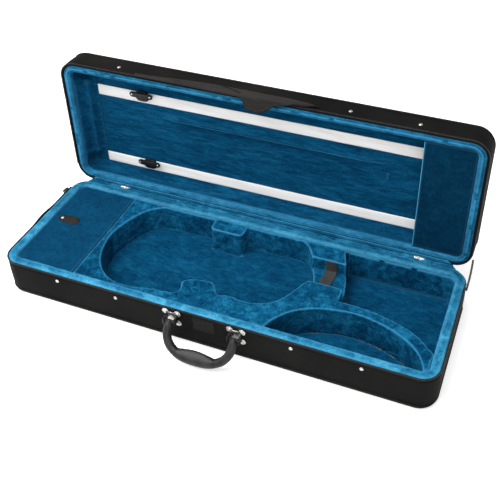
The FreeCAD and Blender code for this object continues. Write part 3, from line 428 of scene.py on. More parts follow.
# ------------------------------------------------------------------ tray's inner sides
# Foam boards stand round the tray behind the same blue plush, a shade deeper where the
# pile hangs down. They show in the open compartments, under the rim.
blue_plush = plush("blue_plush", DEEP, BLUE, PALE, edge=0.85)
base_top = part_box("tray_wall")[0].z / MM
FOOT = RIM_TOP - BEAD_HIGH
wall_rows = [(CLOTH, base_top), (CLOTH, FOOT), (BEAD - 0.2, FOOT)]
wall_rows += [(BEAD, FOOT - (FOOT - base_top) * k / 14) for k in range(15)]
piece(
    "tray_side_lining", ring(wall_rows, 4), "tray", blue_plush, ["tray_wall"],
    bumps=[(30, 0.5), (6, 0.2)],
)

# ------------------------------------------------------------------ foam body
# One block of soft foam, cut out to a violin's outline with a neck channel, a box for
# the scroll and a curved side pocket, and covered in one glued skin of plush.


def merged(nodes, grow, extra=()):
    """One mesh from several CAD pieces, each grown a little so that they meet."""
    whole = bmesh.new()
    for mesh in extra:
        whole.from_mesh(mesh)
        bpy.data.meshes.remove(mesh)
    for node in nodes:
        part = bmesh.new()
        part.from_mesh(frame["nodes"][node].data)
        bmesh.ops.remove_doubles(part, verts=part.verts, dist=1e-6)
        bmesh.ops.recalc_face_normals(part, faces=part.faces)
        part.normal_update()
        for vert in part.verts:
            ways = []
            for face in vert.link_faces:
                if all(face.normal.dot(way) < 0.99 for way in ways):
                    ways.append(face.normal.copy())
            vert.co += sum(ways, Vector()) * grow * MM
        copy = bpy.data.meshes.new("part")
        part.to_mesh(copy)
        part.free()
        whole.from_mesh(copy)
        bpy.data.meshes.remove(copy)
    mesh = bpy.data.meshes.new("merged")
    whole.to_mesh(mesh)
    whole.free()
    return mesh


def bake(thing):
    """The object's mesh with its modifiers applied."""
    graph = bpy.context.evaluated_depsgraph_get()
    graph.update()
    mesh = bpy.data.meshes.new_from_object(thing.evaluated_get(graph))
    thing.modifiers.clear()
    old = thing.data
    thing.data = mesh
    bpy.data.meshes.remove(old)
    return thing


def upholster(
    name, nodes, body, finish, voxel=2.2, rounds=5, bumps=(), grow=0.35, extra=()
):
    """One padded skin over CAD blocks: their edges soften and their faces swell a little."""
    thing = new_object(name, merged(nodes, grow, extra))
    skin = thing.modifiers.new("skin", "REMESH")
    skin.mode = "VOXEL"
    skin.voxel_size = voxel * MM
    soft = thing.modifiers.new("soft", "SMOOTH")
    soft.factor = 0.5
    soft.iterations = rounds
    bake(thing)
    smooth(thing.data)
    for k, (size, height) in enumerate(bumps):
        swell(thing.data, size, height, k)
    return dress(thing, body, finish, nodes)


def prism(outline, low, high):
    """An upright block from an outline in mm, given as a mesh."""
    count = len(outline)
    verts = [(x * MM, y * MM, z * MM) for z in (low, high) for x, y in outline]
    faces = [(k, (k + 1) % count, (k + 1) % count + count, k + count) for k in range(count)]
    faces += [tuple(reversed(range(count))), tuple(range(count, 2 * count))]
    mesh = bpy.data.meshes.new("prism")
    mesh.from_pydata(verts, [], faces)
    return mesh


waist_low, waist_high = (Vector(v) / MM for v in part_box("waist_rear_block"))
WAIST_ROUND = 11.0
waist = [(waist_high.x, waist_high.y), (waist_low.x, waist_high.y)]
for cx, start in ((waist_low.x + WAIST_ROUND, 180), (waist_high.x - WAIST_ROUND, 270)):
    for step in range(9):
        a = math.radians(start + 90 * step / 8)
        waist.append(
            (cx + WAIST_ROUND * math.cos(a), waist_low.y + WAIST_ROUND * (1 + math.sin(a)))
        )
wall_y = WIDTH / 2 - BEAD
under_waist = [
    (waist_low.x - 1, waist_low.y - 1), (waist_high.x + 1, waist_low.y - 1),
    (waist_high.x + 1, wall_y), (waist_low.x - 1, wall_y),
]
backing = [
    (-250, wall_y - 1.0), (185, wall_y - 1.0), (185, wall_y + 2.0), (-250, wall_y + 2.0)
]
foam_blocks = [
    "accessory_partition", "lower_bout_rear_block", "lower_bout_front_block",
    "upper_bout_front_block", "neck_rear_block", "neck_cradle_block", "neck_front_block",
    "crescent_wall",
]
foam_body = upholster(
    "foam_body", foam_blocks, "tray", blue_plush,
    bumps=[(45, 0.9), (14, 0.45), (5, 0.2)],
    extra=[
        prism(waist, waist_low.z, waist_high.z + 0.3), prism(backing, 8, 66.5),
        prism(under_waist, 8, 16.4),
    ],
)
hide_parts(*foam_blocks, "waist_rear_block")

# ------------------------------------------------------------------ padded floors
# Each hollow has a loose pad of thinner foam in plush, cut to its outline and dropped in.
# The violin's is the thickest, and its pile is rubbed flat in soft wrinkles.
# Painted shade: the pads use a darker copy of the blue plush, for the shade deep in the hollows.
floor_shaded_plush = plush(
    "floor_shaded_plush", DEEP, (0.0018, 0.058, 0.135), (0.006, 0.105, 0.215), (0.8, 1.7, 1),
    spread_of=0.13,
)
for name, node, fill, bumps in [
    ("violin_floor", "violin_floor_pad", 0.7, [(60, 1.3), (18, 0.8), (6, 0.25)]),
    ("scroll_floor", "scroll_floor_pad", 0.6, [(50, 0.9), (16, 0.5)]),
    ("crescent_floor", "crescent_floor_pad", 0.6, [(40, 0.8), (14, 0.5)]),
    ("accessory_floor", "accessory_floor_pad", 0.5, [(40, 0.6)]),
]:
    pad = upholster(name, [node], "tray", floor_shaded_plush, 2.4, 3, bumps, 0.2)
ledge = upholster(
    "accessory_ledge_pad", ["accessory_ledge"], "tray", blue_plush, 1.6, 3, [(20, 0.3)], 0
)

# ------------------------------------------------------------------ accessory lid
# A plush-covered board hinged at its rounded right edge closes the small compartment.
# A leather pull tab is riveted near its left edge, with a stitched border.
board_plush = plush(
    "board_plush", (0.0012, 0.030, 0.074), (0.0022, 0.046, 0.108), (0.004, 0.074, 0.160), scale=30,
    spread_of=0.16,
)
board = upholster(
    "accessory_board", ["accessory_lid"], "accessory_lid", board_plush, 1.9, 3,
    [(40, 0.35), (6, 0.15)], 0.8,
)


def slab(outline, low, high, soften, crown=0.0):
    """A flat piece from its outline: its edges are rounded by soften, its top is crowned."""
    count = len(outline)
    centre = np.mean(np.array(outline), axis=0)
    verts, faces, rows = [], [], []
    levels = [(0.0, low + soften), (0.0, high - soften)]
    for k in range(1, 4):
        a = math.radians(30 * k)
        levels.append((soften * (1 - math.cos(a)), high - soften * (1 - math.sin(a))))
    under = [(soften * (1 - math.cos(a)), low + soften * (1 - math.sin(a)))
             for a in (math.radians(90), math.radians(60), math.radians(30))]
    size = max(1e-6, float(np.linalg.norm(np.array(outline) - centre, axis=1).min()))
    inner = [(soften + (size - soften) * t, high + crown * math.sin(math.pi / 2 * t))
             for t in (0.3, 0.6, 0.85)]
    for inset, z in under + levels + inner:
        ring_now = []
        for x, y in outline:
            away = np.array([x, y]) - centre
            scale = max(0.0, 1 - inset / size)
            spot = centre + away * scale
            ring_now.append(len(verts))
            verts.append((spot[0], spot[1], z))
        rows.append(ring_now)
    for a, b in zip(rows, rows[1:]):
        for k in range(count):
            n = (k + 1) % count
            faces.append((a[k], a[n], b[n], b[k]))
    faces.append(tuple(reversed(rows[0])))
    faces.append(tuple(rows[-1]))
    return verts, faces


def stadium(cx, cy, length, width, sides=12):
    """A round-ended outline, with its length along X."""
    half, r = (length - width) / 2, width / 2
    points = []
    for side, start in ((1, -90), (-1, 90)):
        for k in range(sides + 1):
            a = math.radians(start + 180 * k / sides)
            points.append((cx + side * half + r * math.cos(a), cy + r * math.sin(a)))
    return points


def leather(name, dark, wear_and_sheen, rough, size):
    made, tree, main = shader(name)
    at = put(tree, "TexCoord").outputs["Object"]
    cells = put(tree, "TexVoronoi", {"Vector": at, "Scale": 1000 / size}).outputs["Distance"]
    cloud = grain(tree, (1, 1, 1), 60, 5)
    tree.links.new(
        colours(tree, cloud, [(0.35, dark), (0.7, wear_and_sheen)]), main.inputs["Base Color"]
    )
    main.inputs["Roughness"].default_value = rough
    main.inputs["Specular IOR Level"].default_value = 0.3
    relief(tree, main, sums(tree, [(cells, 0.7), (cloud, 0.5)]), 0.25, 0.6)
    return made


def middle_of(node):
    low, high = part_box(node)
    return (low + high) / 2 / MM, (high - low) / MM


tab_leather = leather("tab_leather", (0.007, 0.005, 0.0045), (0.018, 0.013, 0.011), 0.5, 1.2)
tab_at, tab_size = middle_of("accessory_tab")
tab_low = tab_at.z - tab_size.z / 2 + 0.35
TAB_TAPER = 0.84
tab_outline = [
    (x, y if x > tab_at.x else tab_at.y + (y - tab_at.y) * TAB_TAPER)
    for x, y in stadium(tab_at.x, tab_at.y, tab_size.x, tab_size.y)
]
piece(
    "accessory_pull_tab", slab(tab_outline, tab_low, tab_low + 1.9, 0.8, 0.5),
    "accessory_lid", tab_leather, ["accessory_tab"],
)


def start_tree(name, source, sizes, result):
    """A Geometry Nodes tree with a source mesh and named sizes going in, and result out."""
    tree = bpy.data.node_groups.new(name, "GeometryNodeTree")
    face = tree.interface
    face.new_socket(source, in_out="INPUT", socket_type="NodeSocketGeometry")
    for label, value in sizes:
        socket = face.new_socket(label, in_out="INPUT", socket_type="NodeSocketFloat")
        socket.default_value = value
    face.new_socket(result, in_out="OUTPUT", socket_type="NodeSocketGeometry")
    return tree, tree.nodes.new("NodeGroupInput"), tree.nodes.new("NodeGroupOutput")


def end_tree(tree, placed, finish, result):
    """Makes the placed copies real, and gives them their material."""
    add, link = tree.nodes.new, tree.links.new
    real = add("GeometryNodeRealizeInstances")
    link(placed.outputs["Instances"], real.inputs["Geometry"])
    dressed = add("GeometryNodeSetMaterial")
    dressed.inputs["Material"].default_value = finish
    link(real.outputs["Geometry"], dressed.inputs["Geometry"])
    link(dressed.outputs["Geometry"], result.inputs[0])
    return tree


def run_tree(name, mesh, tree, sizes, lid):
    """Runs a tree on a mesh, with sizes in mm, and keeps the plain mesh that it makes."""
    if lid:
        mesh.transform(OPENED)
    thing = new_object(name, mesh)
    modifier = thing.modifiers.new(name, "NODES")
    modifier.node_group = tree
    for item in tree.interface.items_tree:
        if item.in_out == "INPUT" and item.name in sizes:
            modifier[item.identifier] = sizes[item.name] * MM
    bake(thing)
    smooth(thing.data)
    return thing


def row_tree(name, shape, finish):
    """Geometry Nodes: a shape set along an edge path at an even pitch, facing along it."""
    tree, source, result = start_tree(
        name, "Path", [("Pitch", 0.004), ("Length", 0.003), ("Width", 0.001), ("Height", 0.001)],
        "Row",
    )
    add, link = tree.nodes.new, tree.links.new
    curve = add("GeometryNodeMeshToCurve")
    link(source.outputs["Path"], curve.inputs["Mesh"])
    points = add("GeometryNodeCurveToPoints")
    points.mode = "LENGTH"
    link(curve.outputs["Curve"], points.inputs["Curve"])
    link(source.outputs["Pitch"], points.inputs["Length"])
    part = add(shape)
    if shape == "GeometryNodeMeshUVSphere":
        part.inputs["Segments"].default_value = 6
        part.inputs["Rings"].default_value = 4
        part.inputs["Radius"].default_value = 0.5
    size = add("ShaderNodeCombineXYZ")
    link(source.outputs["Width"], size.inputs["X"])
    link(source.outputs["Height"], size.inputs["Y"])
    link(source.outputs["Length"], size.inputs["Z"])
    placed = add("GeometryNodeInstanceOnPoints")
    link(points.outputs["Points"], placed.inputs["Points"])
    link(part.outputs["Mesh"], placed.inputs["Instance"])
    link(points.outputs["Rotation"], placed.inputs["Rotation"])
    link(size.outputs["Vector"], placed.inputs["Scale"])
    return end_tree(tree, placed, finish, result)


def row(name, tree, path, pitch, length, width, height, body, slot, finish, lid=False,
        closed=False, bend=None):
    """Runs a row tree along a path of points in mm, and keeps the plain mesh it makes."""
    mesh = bpy.data.meshes.new(name)
    edges = [(k, k + 1) for k in range(len(path) - 1)]
    if closed:
        edges.append((len(path) - 1, 0))
    mesh.from_pydata((np.array(path, float) * MM).tolist(), edges, [])
    sizes = {"Pitch": pitch, "Length": length, "Width": width, "Height": height}
    thing = run_tree(name, mesh, tree, sizes, lid)
    if bend:
        thing.data.materials.clear()
        thing.data.materials.append(finish)
        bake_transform(thing, *bend)
        return thing
    return dress(thing, body, finish)


thread_black = nylon("thread_black", (0.012, 0.012, 0.012), (0.05, 0.047, 0.045), 0.5, 0.5)
stitch = row_tree("stitch_row", "GeometryNodeMeshUVSphere", thread_black)
border = [
    (tab_at.x + (x - tab_at.x) * 0.88, tab_at.y + (y - tab_at.y) * 0.8, tab_low + 2.1)
    for x, y in tab_outline
]
row(
    "tab_stitches", stitch, border, 2.6, 2.0, 0.5, 0.45, "accessory_lid", "tab_leather",
    thread_black, closed=True,
)
tab_rivet = middle_of("accessory_tab_rivet")[0]

# ------------------------------------------------------------------ rivets
# Every rivet is a pressed nickel dome on a short shank, set through the cover into the
# board behind it.


def metal(name, colour, rough, wear, coat=0.0):
    """Plated or painted metal, dulled in small clouds where hands have rubbed it."""
    made, tree, main = shader(name)
    cloud = grain(tree, (1, 1, 1), 180, 6, 0.4)
    tree.links.new(colours(tree, cloud, [(0.35, wear), (0.6, colour)]), main.inputs["Base Color"])
    main.inputs["Metallic"].default_value = 1.0 if coat == 0 else 0.0
    dull = put(
        tree, "MapRange",
        {"Value": cloud, "From Min": 0.3, "From Max": 0.7, "To Min": rough + 0.14, "To Max": rough},
    )
    tree.links.new(dull.outputs["Result"], main.inputs["Roughness"])
    main.inputs["Coat Weight"].default_value = coat
    relief(tree, main, grain(tree, (1, 1, 1), 900, 2), 0.04, 0.4)
    return made


nickel = metal("nickel", (0.78, 0.77, 0.74), 0.22, (0.50, 0.49, 0.47))


def dome_tree(finish):
    """Geometry Nodes: a low dome set on every point, facing along that point's normal."""
    tree, source, result = start_tree(
        "dome_set", "Spots", [("Radius", 0.0036), ("Rise", 0.0016)], "Domes"
    )
    add, link = tree.nodes.new, tree.links.new
    ball = add("GeometryNodeMeshUVSphere")
    ball.inputs["Segments"].default_value = 16
    ball.inputs["Rings"].default_value = 8
    ball.inputs["Radius"].default_value = 1.0
    facing = add("FunctionNodeAlignEulerToVector")
    facing.axis = "Z"
    normal = add("GeometryNodeInputNormal")
    link(normal.outputs["Normal"], facing.inputs["Vector"])
    size = add("ShaderNodeCombineXYZ")
    link(source.outputs["Radius"], size.inputs["X"])
    link(source.outputs["Radius"], size.inputs["Y"])
    link(source.outputs["Rise"], size.inputs["Z"])
    centres = add("GeometryNodeMeshToPoints")
    centres.mode = "FACES"
    placed = add("GeometryNodeInstanceOnPoints")
    keep = add("GeometryNodeCaptureAttribute")
    keep.domain = "FACE"
    keep.capture_items.new("VECTOR", "Facing")
    link(source.outputs["Spots"], keep.inputs["Geometry"])
    link(facing.outputs["Rotation"], keep.inputs["Facing"])
    link(keep.outputs["Geometry"], centres.inputs["Mesh"])
    link(centres.outputs["Points"], placed.inputs["Points"])
    link(ball.outputs["Mesh"], placed.inputs["Instance"])
    link(keep.outputs["Facing"], placed.inputs["Rotation"])
    link(size.outputs["Vector"], placed.inputs["Scale"])
    return end_tree(tree, placed, finish, result)


nickel_domes = dome_tree(nickel)


def domes(name, spots, facing, radius, rise, body, stands_for=(), lid=False):
    """Rivet heads at each spot (mm), all facing one way."""
    way = Vector(facing)
    side = way.orthogonal().normalized() * 0.2
    other = way.cross(side)
    verts, faces = [], []
    for spot in spots:
        start = len(verts)
        corners = (side, other, -side, -other)
        verts += [(Vector(spot) + corner) * MM for corner in corners]
        faces.append((start, start + 1, start + 2, start + 3))
    mesh = bpy.data.meshes.new(name)
    mesh.from_pydata(verts, [], faces)
    thing = run_tree(name, mesh, nickel_domes, {"Radius": radius, "Rise": rise}, lid)
    return dress(thing, body, nickel, stands_for)


domes(
    "accessory_tab_rivet_head", [(tab_rivet.x, tab_rivet.y, tab_low + 2.0)], (0, 0, 1), 3.6, 1.7,
    "accessory_lid", ["accessory_tab_rivet"],
)
RIVET_HIGH = middle_of("tray_rivets")[0].z
RIVET_FACE = -WIDTH / 2 - 0.4
RIVET_SIZES = (3.6, 1.8)
domes(
    "tray_side_rivets", [(x, RIVET_FACE, RIVET_HIGH) for x in (-277, -160, 160, 277)],
    (0, -1, 0), *RIVET_SIZES, "tray", ["tray_rivets"],
)

# ------------------------------------------------------------------ neck strap
# A band of black webbing is sewn to the foam on both sides of the neck's channel. It lies
# down in the channel in a U, and the violin's neck rests on it.


def cloth(us, vs, at, thick):
    """A closed thin sheet: at(u, v) is its face in mm, and thick its depth behind it."""
    face = np.array([[at(u, v) for v in vs] for u in us], float)
    across, along = np.gradient(face, axis=0), np.gradient(face, axis=1)
    normal = np.cross(across, along)
    normal /= np.maximum(1e-9, np.linalg.norm(normal, axis=2, keepdims=True))
    back = face - normal * thick
    m, n = len(us), len(vs)
    verts = [tuple(p) for p in face.reshape(-1, 3)] + [tuple(p) for p in back.reshape(-1, 3)]
    faces = []
    for i in range(m - 1):
        for j in range(n - 1):
            a, b, c, d = i * n + j, (i + 1) * n + j, (i + 1) * n + j + 1, i * n + j + 1
            faces.append((a, b, c, d))
            faces.append((a + m * n, d + m * n, c + m * n, b + m * n))
    rim = [i * n for i in range(m)] + [(m - 1) * n + j for j in range(1, n)]
    rim += [i * n + n - 1 for i in range(m - 2, -1, -1)] + [j for j in range(n - 2, 0, -1)]
    for k, a in enumerate(rim):
        b = rim[(k + 1) % len(rim)]
        faces.append((a, a + m * n, b + m * n, b))
    return verts, faces


def spread(low, high, gap):
    """Even steps from low to high, about gap apart."""
    return np.linspace(low, high, max(2, round((high - low) / gap) + 1))


def along_path(points, gap):
    """Points about gap apart along a smooth curve through the given ones."""
    points = np.array(points, float)
    reach = np.concatenate([[0], np.cumsum(np.linalg.norm(np.diff(points, axis=0), axis=1))])
    fine = spread(0, reach[-1], gap)
    slopes = np.gradient(points, reach, axis=0)
    found = []
    for s in fine:
        k = min(len(points) - 2, int(np.searchsorted(reach, s, side="right") - 1))
        w = reach[k + 1] - reach[k]
        t = (s - reach[k]) / w
        a, b, c, d = 2 * t**3 - 3 * t**2 + 1, t**3 - 2 * t**2 + t, 3 * t**2 - 2 * t**3, t**3 - t**2
        found.append(
            a * points[k] + b * w * slopes[k] + c * points[k + 1] + d * w * slopes[k + 1]
        )
    return np.array(found)


webbing, tree, main = shader("webbing")
at = put(tree, "TexCoord").outputs["Object"]
ribs = put(
    tree, "TexWave", {"Vector": at, "Scale": 314 / 1.4, "Distortion": 0.4}, bands_direction="X"
).outputs["Fac"]
picks = put(
    tree, "TexWave", {"Vector": at, "Scale": 314 / 1.1, "Distortion": 0.4}, bands_direction="Y"
).outputs["Fac"]
dust = grain(tree, (1, 1, 1), 60, 5)
tree.links.new(
    colours(
        tree, sums(tree, [(dust, 0.7), (ribs, 0.3)]), [(0.3, (0.006,) * 3), (0.75, (0.03,) * 3)]
    ),
    main.inputs["Base Color"],
)
main.inputs["Roughness"].default_value = 0.55
main.inputs["Sheen Weight"].default_value = 0.15
relief(tree, main, sums(tree, [(ribs, 0.6), (picks, 0.6)]), 0.4, 0.9)

strap_low, strap_high = (Vector(v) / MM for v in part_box("neck_strap"))
strap_path = along_path(
    [
        (15.5, 67.4), (16.0, 62), (16.4, 52), (18.4, 45.4), (23, 43.2), (32, 42.9), (45, 43.6),
        (58, 42.9), (67, 43.2), (71.6, 45.4), (73.6, 52), (74.0, 62), (74.5, 67.4),
    ],
    1.2,
)


def strap_at(u, v):
    y, z = strap_path[int(round(v))]
    middle = (strap_low.x + strap_high.x) / 2
    half = (strap_high.x - strap_low.x) / 2 - 0.4
    cup = 0.5 * abs(u) ** 3
    return (middle + u * half + 0.5 * math.sin(y / 9), y, z + cup * (1 if 18 < y < 72 else -0.4))


strap = piece(
    "neck_strap_web", cloth(np.linspace(-1, 1, 13), range(len(strap_path)), strap_at, -1.3),
    "tray", webbing, ["neck_strap"],
)

# ------------------------------------------------------------------ tray zip
# Black nylon coil runs round the front and both ends, sewn on a tape to the cover's top
# edge. The rear has none, since the lid hinges there.
ZIP_END = WIDTH / 2 - CORNER


def open_stations(gap):
    """The plan's stations from the left end, round the front, to the right end."""
    places = stations(gap)
    inside = [p[1] + p[3] * CORNER < ZIP_END + 0.01 for p in places]
    start = next(k for k in range(len(places)) if inside[k] and not inside[k - 1])
    turned = places[start:] + places[:start]
    return [p for p in turned if p[1] + p[3] * CORNER < ZIP_END + 0.01]


def slack(ay, nx, ny):
    """How far the zip stands off the case, in mm: it gapes a little at the left end."""
    y = ay + ny * CORNER
    return 2.8 * math.sin(math.pi * (y + 34) / 76) ** 2 if nx < -0.99 and -34 < y < 42 else 0.0


def band(profile, gap=4.0):
    """A closed profile carried along the open stations, capped at both ends."""
    places = open_stations(gap)
    verts, faces, size = [], [], len(profile)
    for ax, ay, nx, ny in places:
        off = slack(ay, nx, ny)
        for inset, z in profile:
            reach = CORNER - inset + off * min(1.0, max(0.0, (z - profile[0][1]) / 3))
            verts.append((ax + nx * reach, ay + ny * reach, z))
    for k in range(len(places) - 1):
        for j in range(size):
            up = (j + 1) % size
            a, b = k * size, (k + 1) * size
            faces.append((a + j, b + j, b + up, a + up))
    faces.append(tuple(range(size)))
    faces.append(tuple(reversed(range(len(verts) - size, len(verts)))))
    return verts, faces


def coil_path(z):
    path = []
    for ax, ay, nx, ny in open_stations(4.0):
        reach = CORNER - 0.2 + (slack(ay, nx, ny) if z < RIM_TOP else 0.0)
        path.append((ax + nx * reach, ay + ny * reach, z))
    return path


zip_tape = nylon("zip_tape", (0.009, 0.009, 0.0095), (0.022, 0.021, 0.020), 0.5, 0.6)
zip_coil = metal("zip_coil", (0.02, 0.02, 0.021), 0.3, (0.008, 0.008, 0.008), coat=0.3)
coil = row_tree("coil_row", "GeometryNodeMeshUVSphere", zip_coil)
COIL_SIZES = (1.8, 1.35, 1.5, 2.0)
ZIP_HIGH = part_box("tray_zip")[1].z / MM
tape_rows = [
    (0.2, ZIP_LOW), (0.0, ZIP_LOW + 0.8), (0.1, ZIP_LOW + 2.6), (0.5, ZIP_HIGH - 0.9),
    (0.9, ZIP_HIGH - 0.4), (CLOTH, ZIP_HIGH - 0.4), (CLOTH, ZIP_LOW),
]
piece("tray_zip_tape", band(tape_rows), "tray", zip_tape, ["tray_zip"])
row(
    "tray_zip_coil", coil, coil_path(ZIP_HIGH - 1.0), *COIL_SIZES, "tray", "zip_black", zip_coil,
)

# ------------------------------------------------------------------ lid cover
# The lid is a shallow tray of its own, covered like the base. It is drawn closed, over
# the base, and then swung back on its hinge to where it stands open.
hinge = next(joint for joint in frame["joints"] if joint["name"] == "lid_hinge")
HINGE = Vector(hinge["pos_m"])
OPENED = (
    Matrix.Translation(HINGE) @ Matrix.Rotation(-math.radians(hinge["range_deg"][1]), 4, "X")
    @ Matrix.Translation(-HINGE)
)
CLOSED = OPENED.inverted()


def closed_box(node):
    """A lid node's lowest and highest corners in mm, with the lid closed."""
    points = [CLOSED @ v.co / MM for v in frame["nodes"][node].data.vertices]
    return [Vector(pick(p[k] for p in points) for k in range(3)) for pick in (min, max)]


LID_SIDE, LID_TOP_SEAM = (corner.z for corner in closed_box("lid_side_cover"))
LID_TOP = closed_box("lid_top_cover")[1].z
LID_FOOT = closed_box("lid_wall")[0].z
FLOOR = closed_box("lid_lining_panel")[0].z
piece(
    "lid_side_cloth", ring(side_rows(LID_SIDE, LID_TOP_SEAM, 0.8)), "lid",
    cover_cloth, ["lid_side_cover"], lid=True, bumps=[(70, 0.7), (22, 0.25)],
)
top_rows = [(inset, LID_TOP - z) for inset, z in base_rows]
piece(
    "lid_top_cloth", ring(top_rows, caps=True), "lid", cover_cloth,
    ["lid_top_cover"], lid=True,
)
piece(
    "lid_welt", ring(tube_rows(-0.1, LID_TOP_SEAM, 1.35), 4), "lid", cord_cloth,
    ["lid_piping"], lid=True,
)

# ------------------------------------------------------------------ lid zip and hem
# The other half of the zip is sewn round the lid's mouth, and a turned hem of the cover
# closes the gap between the zip and the plush.
LID_ZIP_LOW, LID_ZIP_HIGH = (corner.z for corner in closed_box("lid_zip"))
lid_tape_rows = [
    (0.2, LID_ZIP_HIGH), (0.0, LID_ZIP_HIGH - 0.8), (0.1, LID_ZIP_LOW + 2.2),
    (0.5, LID_ZIP_LOW + 0.9), (0.9, LID_ZIP_LOW + 0.4), (CLOTH, LID_ZIP_LOW + 0.4),
    (CLOTH, LID_ZIP_HIGH),
]
piece("lid_zip_tape", band(lid_tape_rows), "lid", zip_tape, ["lid_zip"], lid=True)
row(
    "lid_zip_coil", coil, coil_path(LID_ZIP_LOW + 1.0), *COIL_SIZES, "lid", "zip_black",
    zip_coil, lid=True,
)
hem_rows = [
    (CLOTH + 0.05, LID_ZIP_HIGH), (CLOTH + 0.05, LID_ZIP_LOW + 1.0),
    (CLOTH + 0.5, LID_ZIP_LOW + 0.3),
    (CLOTH + 1.7, LID_ZIP_LOW), (4.2, LID_ZIP_LOW + 0.4), (4.9, LID_ZIP_LOW + 1.2),
    (4.95, LID_ZIP_HIGH),
]
piece(
    "lid_turned_hem", ring(hem_rows, 4), "lid", cover_cloth, ["lid_hem"], lid=True,
    bumps=[(18, 0.15)],
)

# ------------------------------------------------------------------ lid plush rim
# The lid's bead is the tray's again, upside down. It stops the dust at the joint.
# Painted shade: the lid's inside uses a darker copy of the same blue plush.
lid_shaded_plush = plush(
    "lid_shaded_plush", (0.0008, 0.026, 0.066), (0.0018, 0.052, 0.120), (0.006, 0.100, 0.21),
    (0.3, 1, 1.7), scale=26, spread_of=0.13,
)
# Painted highlight: the lid's bead uses a paler copy of the plush, for the light that falls on it.
lid_rim_lit_plush = plush(
    "lid_rim_lit_plush", (0.0015, 0.045, 0.105), (0.006, 0.098, 0.20), (0.025, 0.20, 0.36), (0.5, 1, 1),
)
piece(
    "lid_rim", ring(bead_rows(LID_FOOT, LID_FOOT - BEAD_HIGH, 5.0), 3), "lid",
    lid_rim_lit_plush, ["lid_rim_trim"], lid=True, bumps=[(16, 0.4), (5, 0.2)],
)

# ------------------------------------------------------------------ lid inner sides
# Plush over soft foam curves from the bead down to the lid's floor. At the left end the
# foam is a wide ramp, and the plush over it is slack enough to fold.
RAMP = 48.0
RAMP_Y = 75.0
FOLD = 4.2


def lid_side(ax, ay, nx, ny):
    """The lining's section at a station: a quarter round, or a folded ramp at the left."""
    deep = FLOOR - LID_FOOT
    left = max(0.0, -nx)
    y = abs(ay + ny * CORNER)
    width = BEAD + 9.0
    if left > 0.02:
        full = CORNER - 1.5 if y > WIDTH / 2 - CORNER else RAMP
        t = min(1.0, max(0.0, (WIDTH / 2 - CORNER - y) / (WIDTH / 2 - CORNER - RAMP_Y)))
        ease = t * t * (3 - 2 * t)
        width = BEAD + 9.0 + (CORNER - 1.5 - BEAD - 9.0) * left ** 2
        if abs(ny) < 0.01:
            width = (CORNER - 1.5) + (full - CORNER + 1.5) * ease
    ramp = min(1.0, max(0.0, (width - BEAD - 9) / (RAMP - BEAD - 9)))
    rows = [(CLOTH, LID_FOOT), (BEAD - 0.4, LID_FOOT)]
    for k in range(19):
        t = k / 18
        if t < 0.5:
            round_x, round_z = 0.0, t / 0.5 * (deep - 9) / deep
        else:
            a = (t - 0.5) / 0.5 * math.pi / 2
            round_x, round_z = 9 * (1 - math.cos(a)), (deep - 9 + 9 * math.sin(a)) / deep
        fold = FOLD * math.sin(2 * math.pi * t * 1.35) * math.sin(math.pi * t)
        slant_x, slant_z = (width - BEAD) * t, t + 0.22 * math.sin(math.pi * t)
        x = round_x * (1 - ramp) + slant_x * ramp
        z = (round_z * (1 - ramp) + min(1.0, slant_z) * ramp) * deep + fold * ramp
        rows.append((BEAD + x, min(LID_FOOT + z, FLOOR + 0.2)))
    rows += [(width, FLOOR + 1.2), (BEAD, FLOOR + 3.4), (CLOTH, FLOOR + 3.4)]
    return rows


lid_sides = piece(
    "lid_side_lining", ring(lid_side, 4), "lid", lid_shaded_plush, ["lid_wall"], lid=True,
    bumps=[(28, 0.9), (9, 0.3)],
)

# ------------------------------------------------------------------ lid floor
# The lid's floor is plush on thin foam. A long slit is cut in it for sheet music, and
# the upper edge hangs a little over the lower one. Its foam has settled in faint creases.
POCKET_LOW, POCKET_HIGH = closed_box("music_pocket")
SLIT = POCKET_LOW.y
floor_low, floor_high = closed_box("lid_lining_panel")


def between(value, low, high):
    t = min(1.0, max(0.0, (value - low) / (high - low)))
    return t * t * (3 - 2 * t)


def crease(x, y):
    """Faint creases along X, in mm towards the case."""
    here = Vector((x / 190, y / 15, 0.3))
    return 0.8 * noise.noise(here) + 0.4 * noise.noise(Vector((x / 60, y / 7, 4)))


seam_x = RAMP - LENGTH / 2
SLIT_LIP, SLIT_SINK = 6.0, 2.6


def floor_at(x, y):
    inside = between(x, POCKET_LOW.x - 14, POCKET_LOW.x + 45)
    inside *= 1 - between(x, POCKET_HIGH.x - 50, POCKET_HIGH.x + 12)
    upper = between(y, SLIT - 20, SLIT - 3) * (1 if y < SLIT + 0.1 else 0) * inside
    lower = (1 if y > SLIT + 0.1 else 0) * (1 - between(y, SLIT, SLIT + 26)) * inside
    groove = 1.3 * math.exp(-(((x - seam_x) / 2.2) ** 2)) if abs(y) < RAMP_Y + 12 else 0.0
    under_strip = any(low - 3 < y < high + 3 for low, high in STRIPS)
    lift = 0.25 if under_strip else 0.6 + 0.8 * crease(x, y) - groove
    return (x, y, FLOOR - max(-0.8, lift) - SLIT_LIP * upper + SLIT_SINK * lower)


STRIPS = []
for strip in ("upper_bow_strip", "lower_bow_strip"):
    low, high = closed_box(strip)
    STRIPS.append((low.y, high.y))
rows_y = np.concatenate([
    spread(floor_low.y + 0.5, SLIT - 2, 2.5),
    [SLIT - 1.2, SLIT - 0.4, SLIT, SLIT + 0.2, SLIT + 0.9],
    spread(SLIT + 2.5, floor_high.y - 0.5, 2.5),
])
lid_floor = piece(
    "lid_floor_lining",
    cloth(spread(floor_low.x + 0.5, floor_high.x - 0.5, 4), rows_y, floor_at, -2.2),
    "lid", lid_shaded_plush, ["lid_lining_panel"], lid=True, bumps=[(6, 0.12)],
)

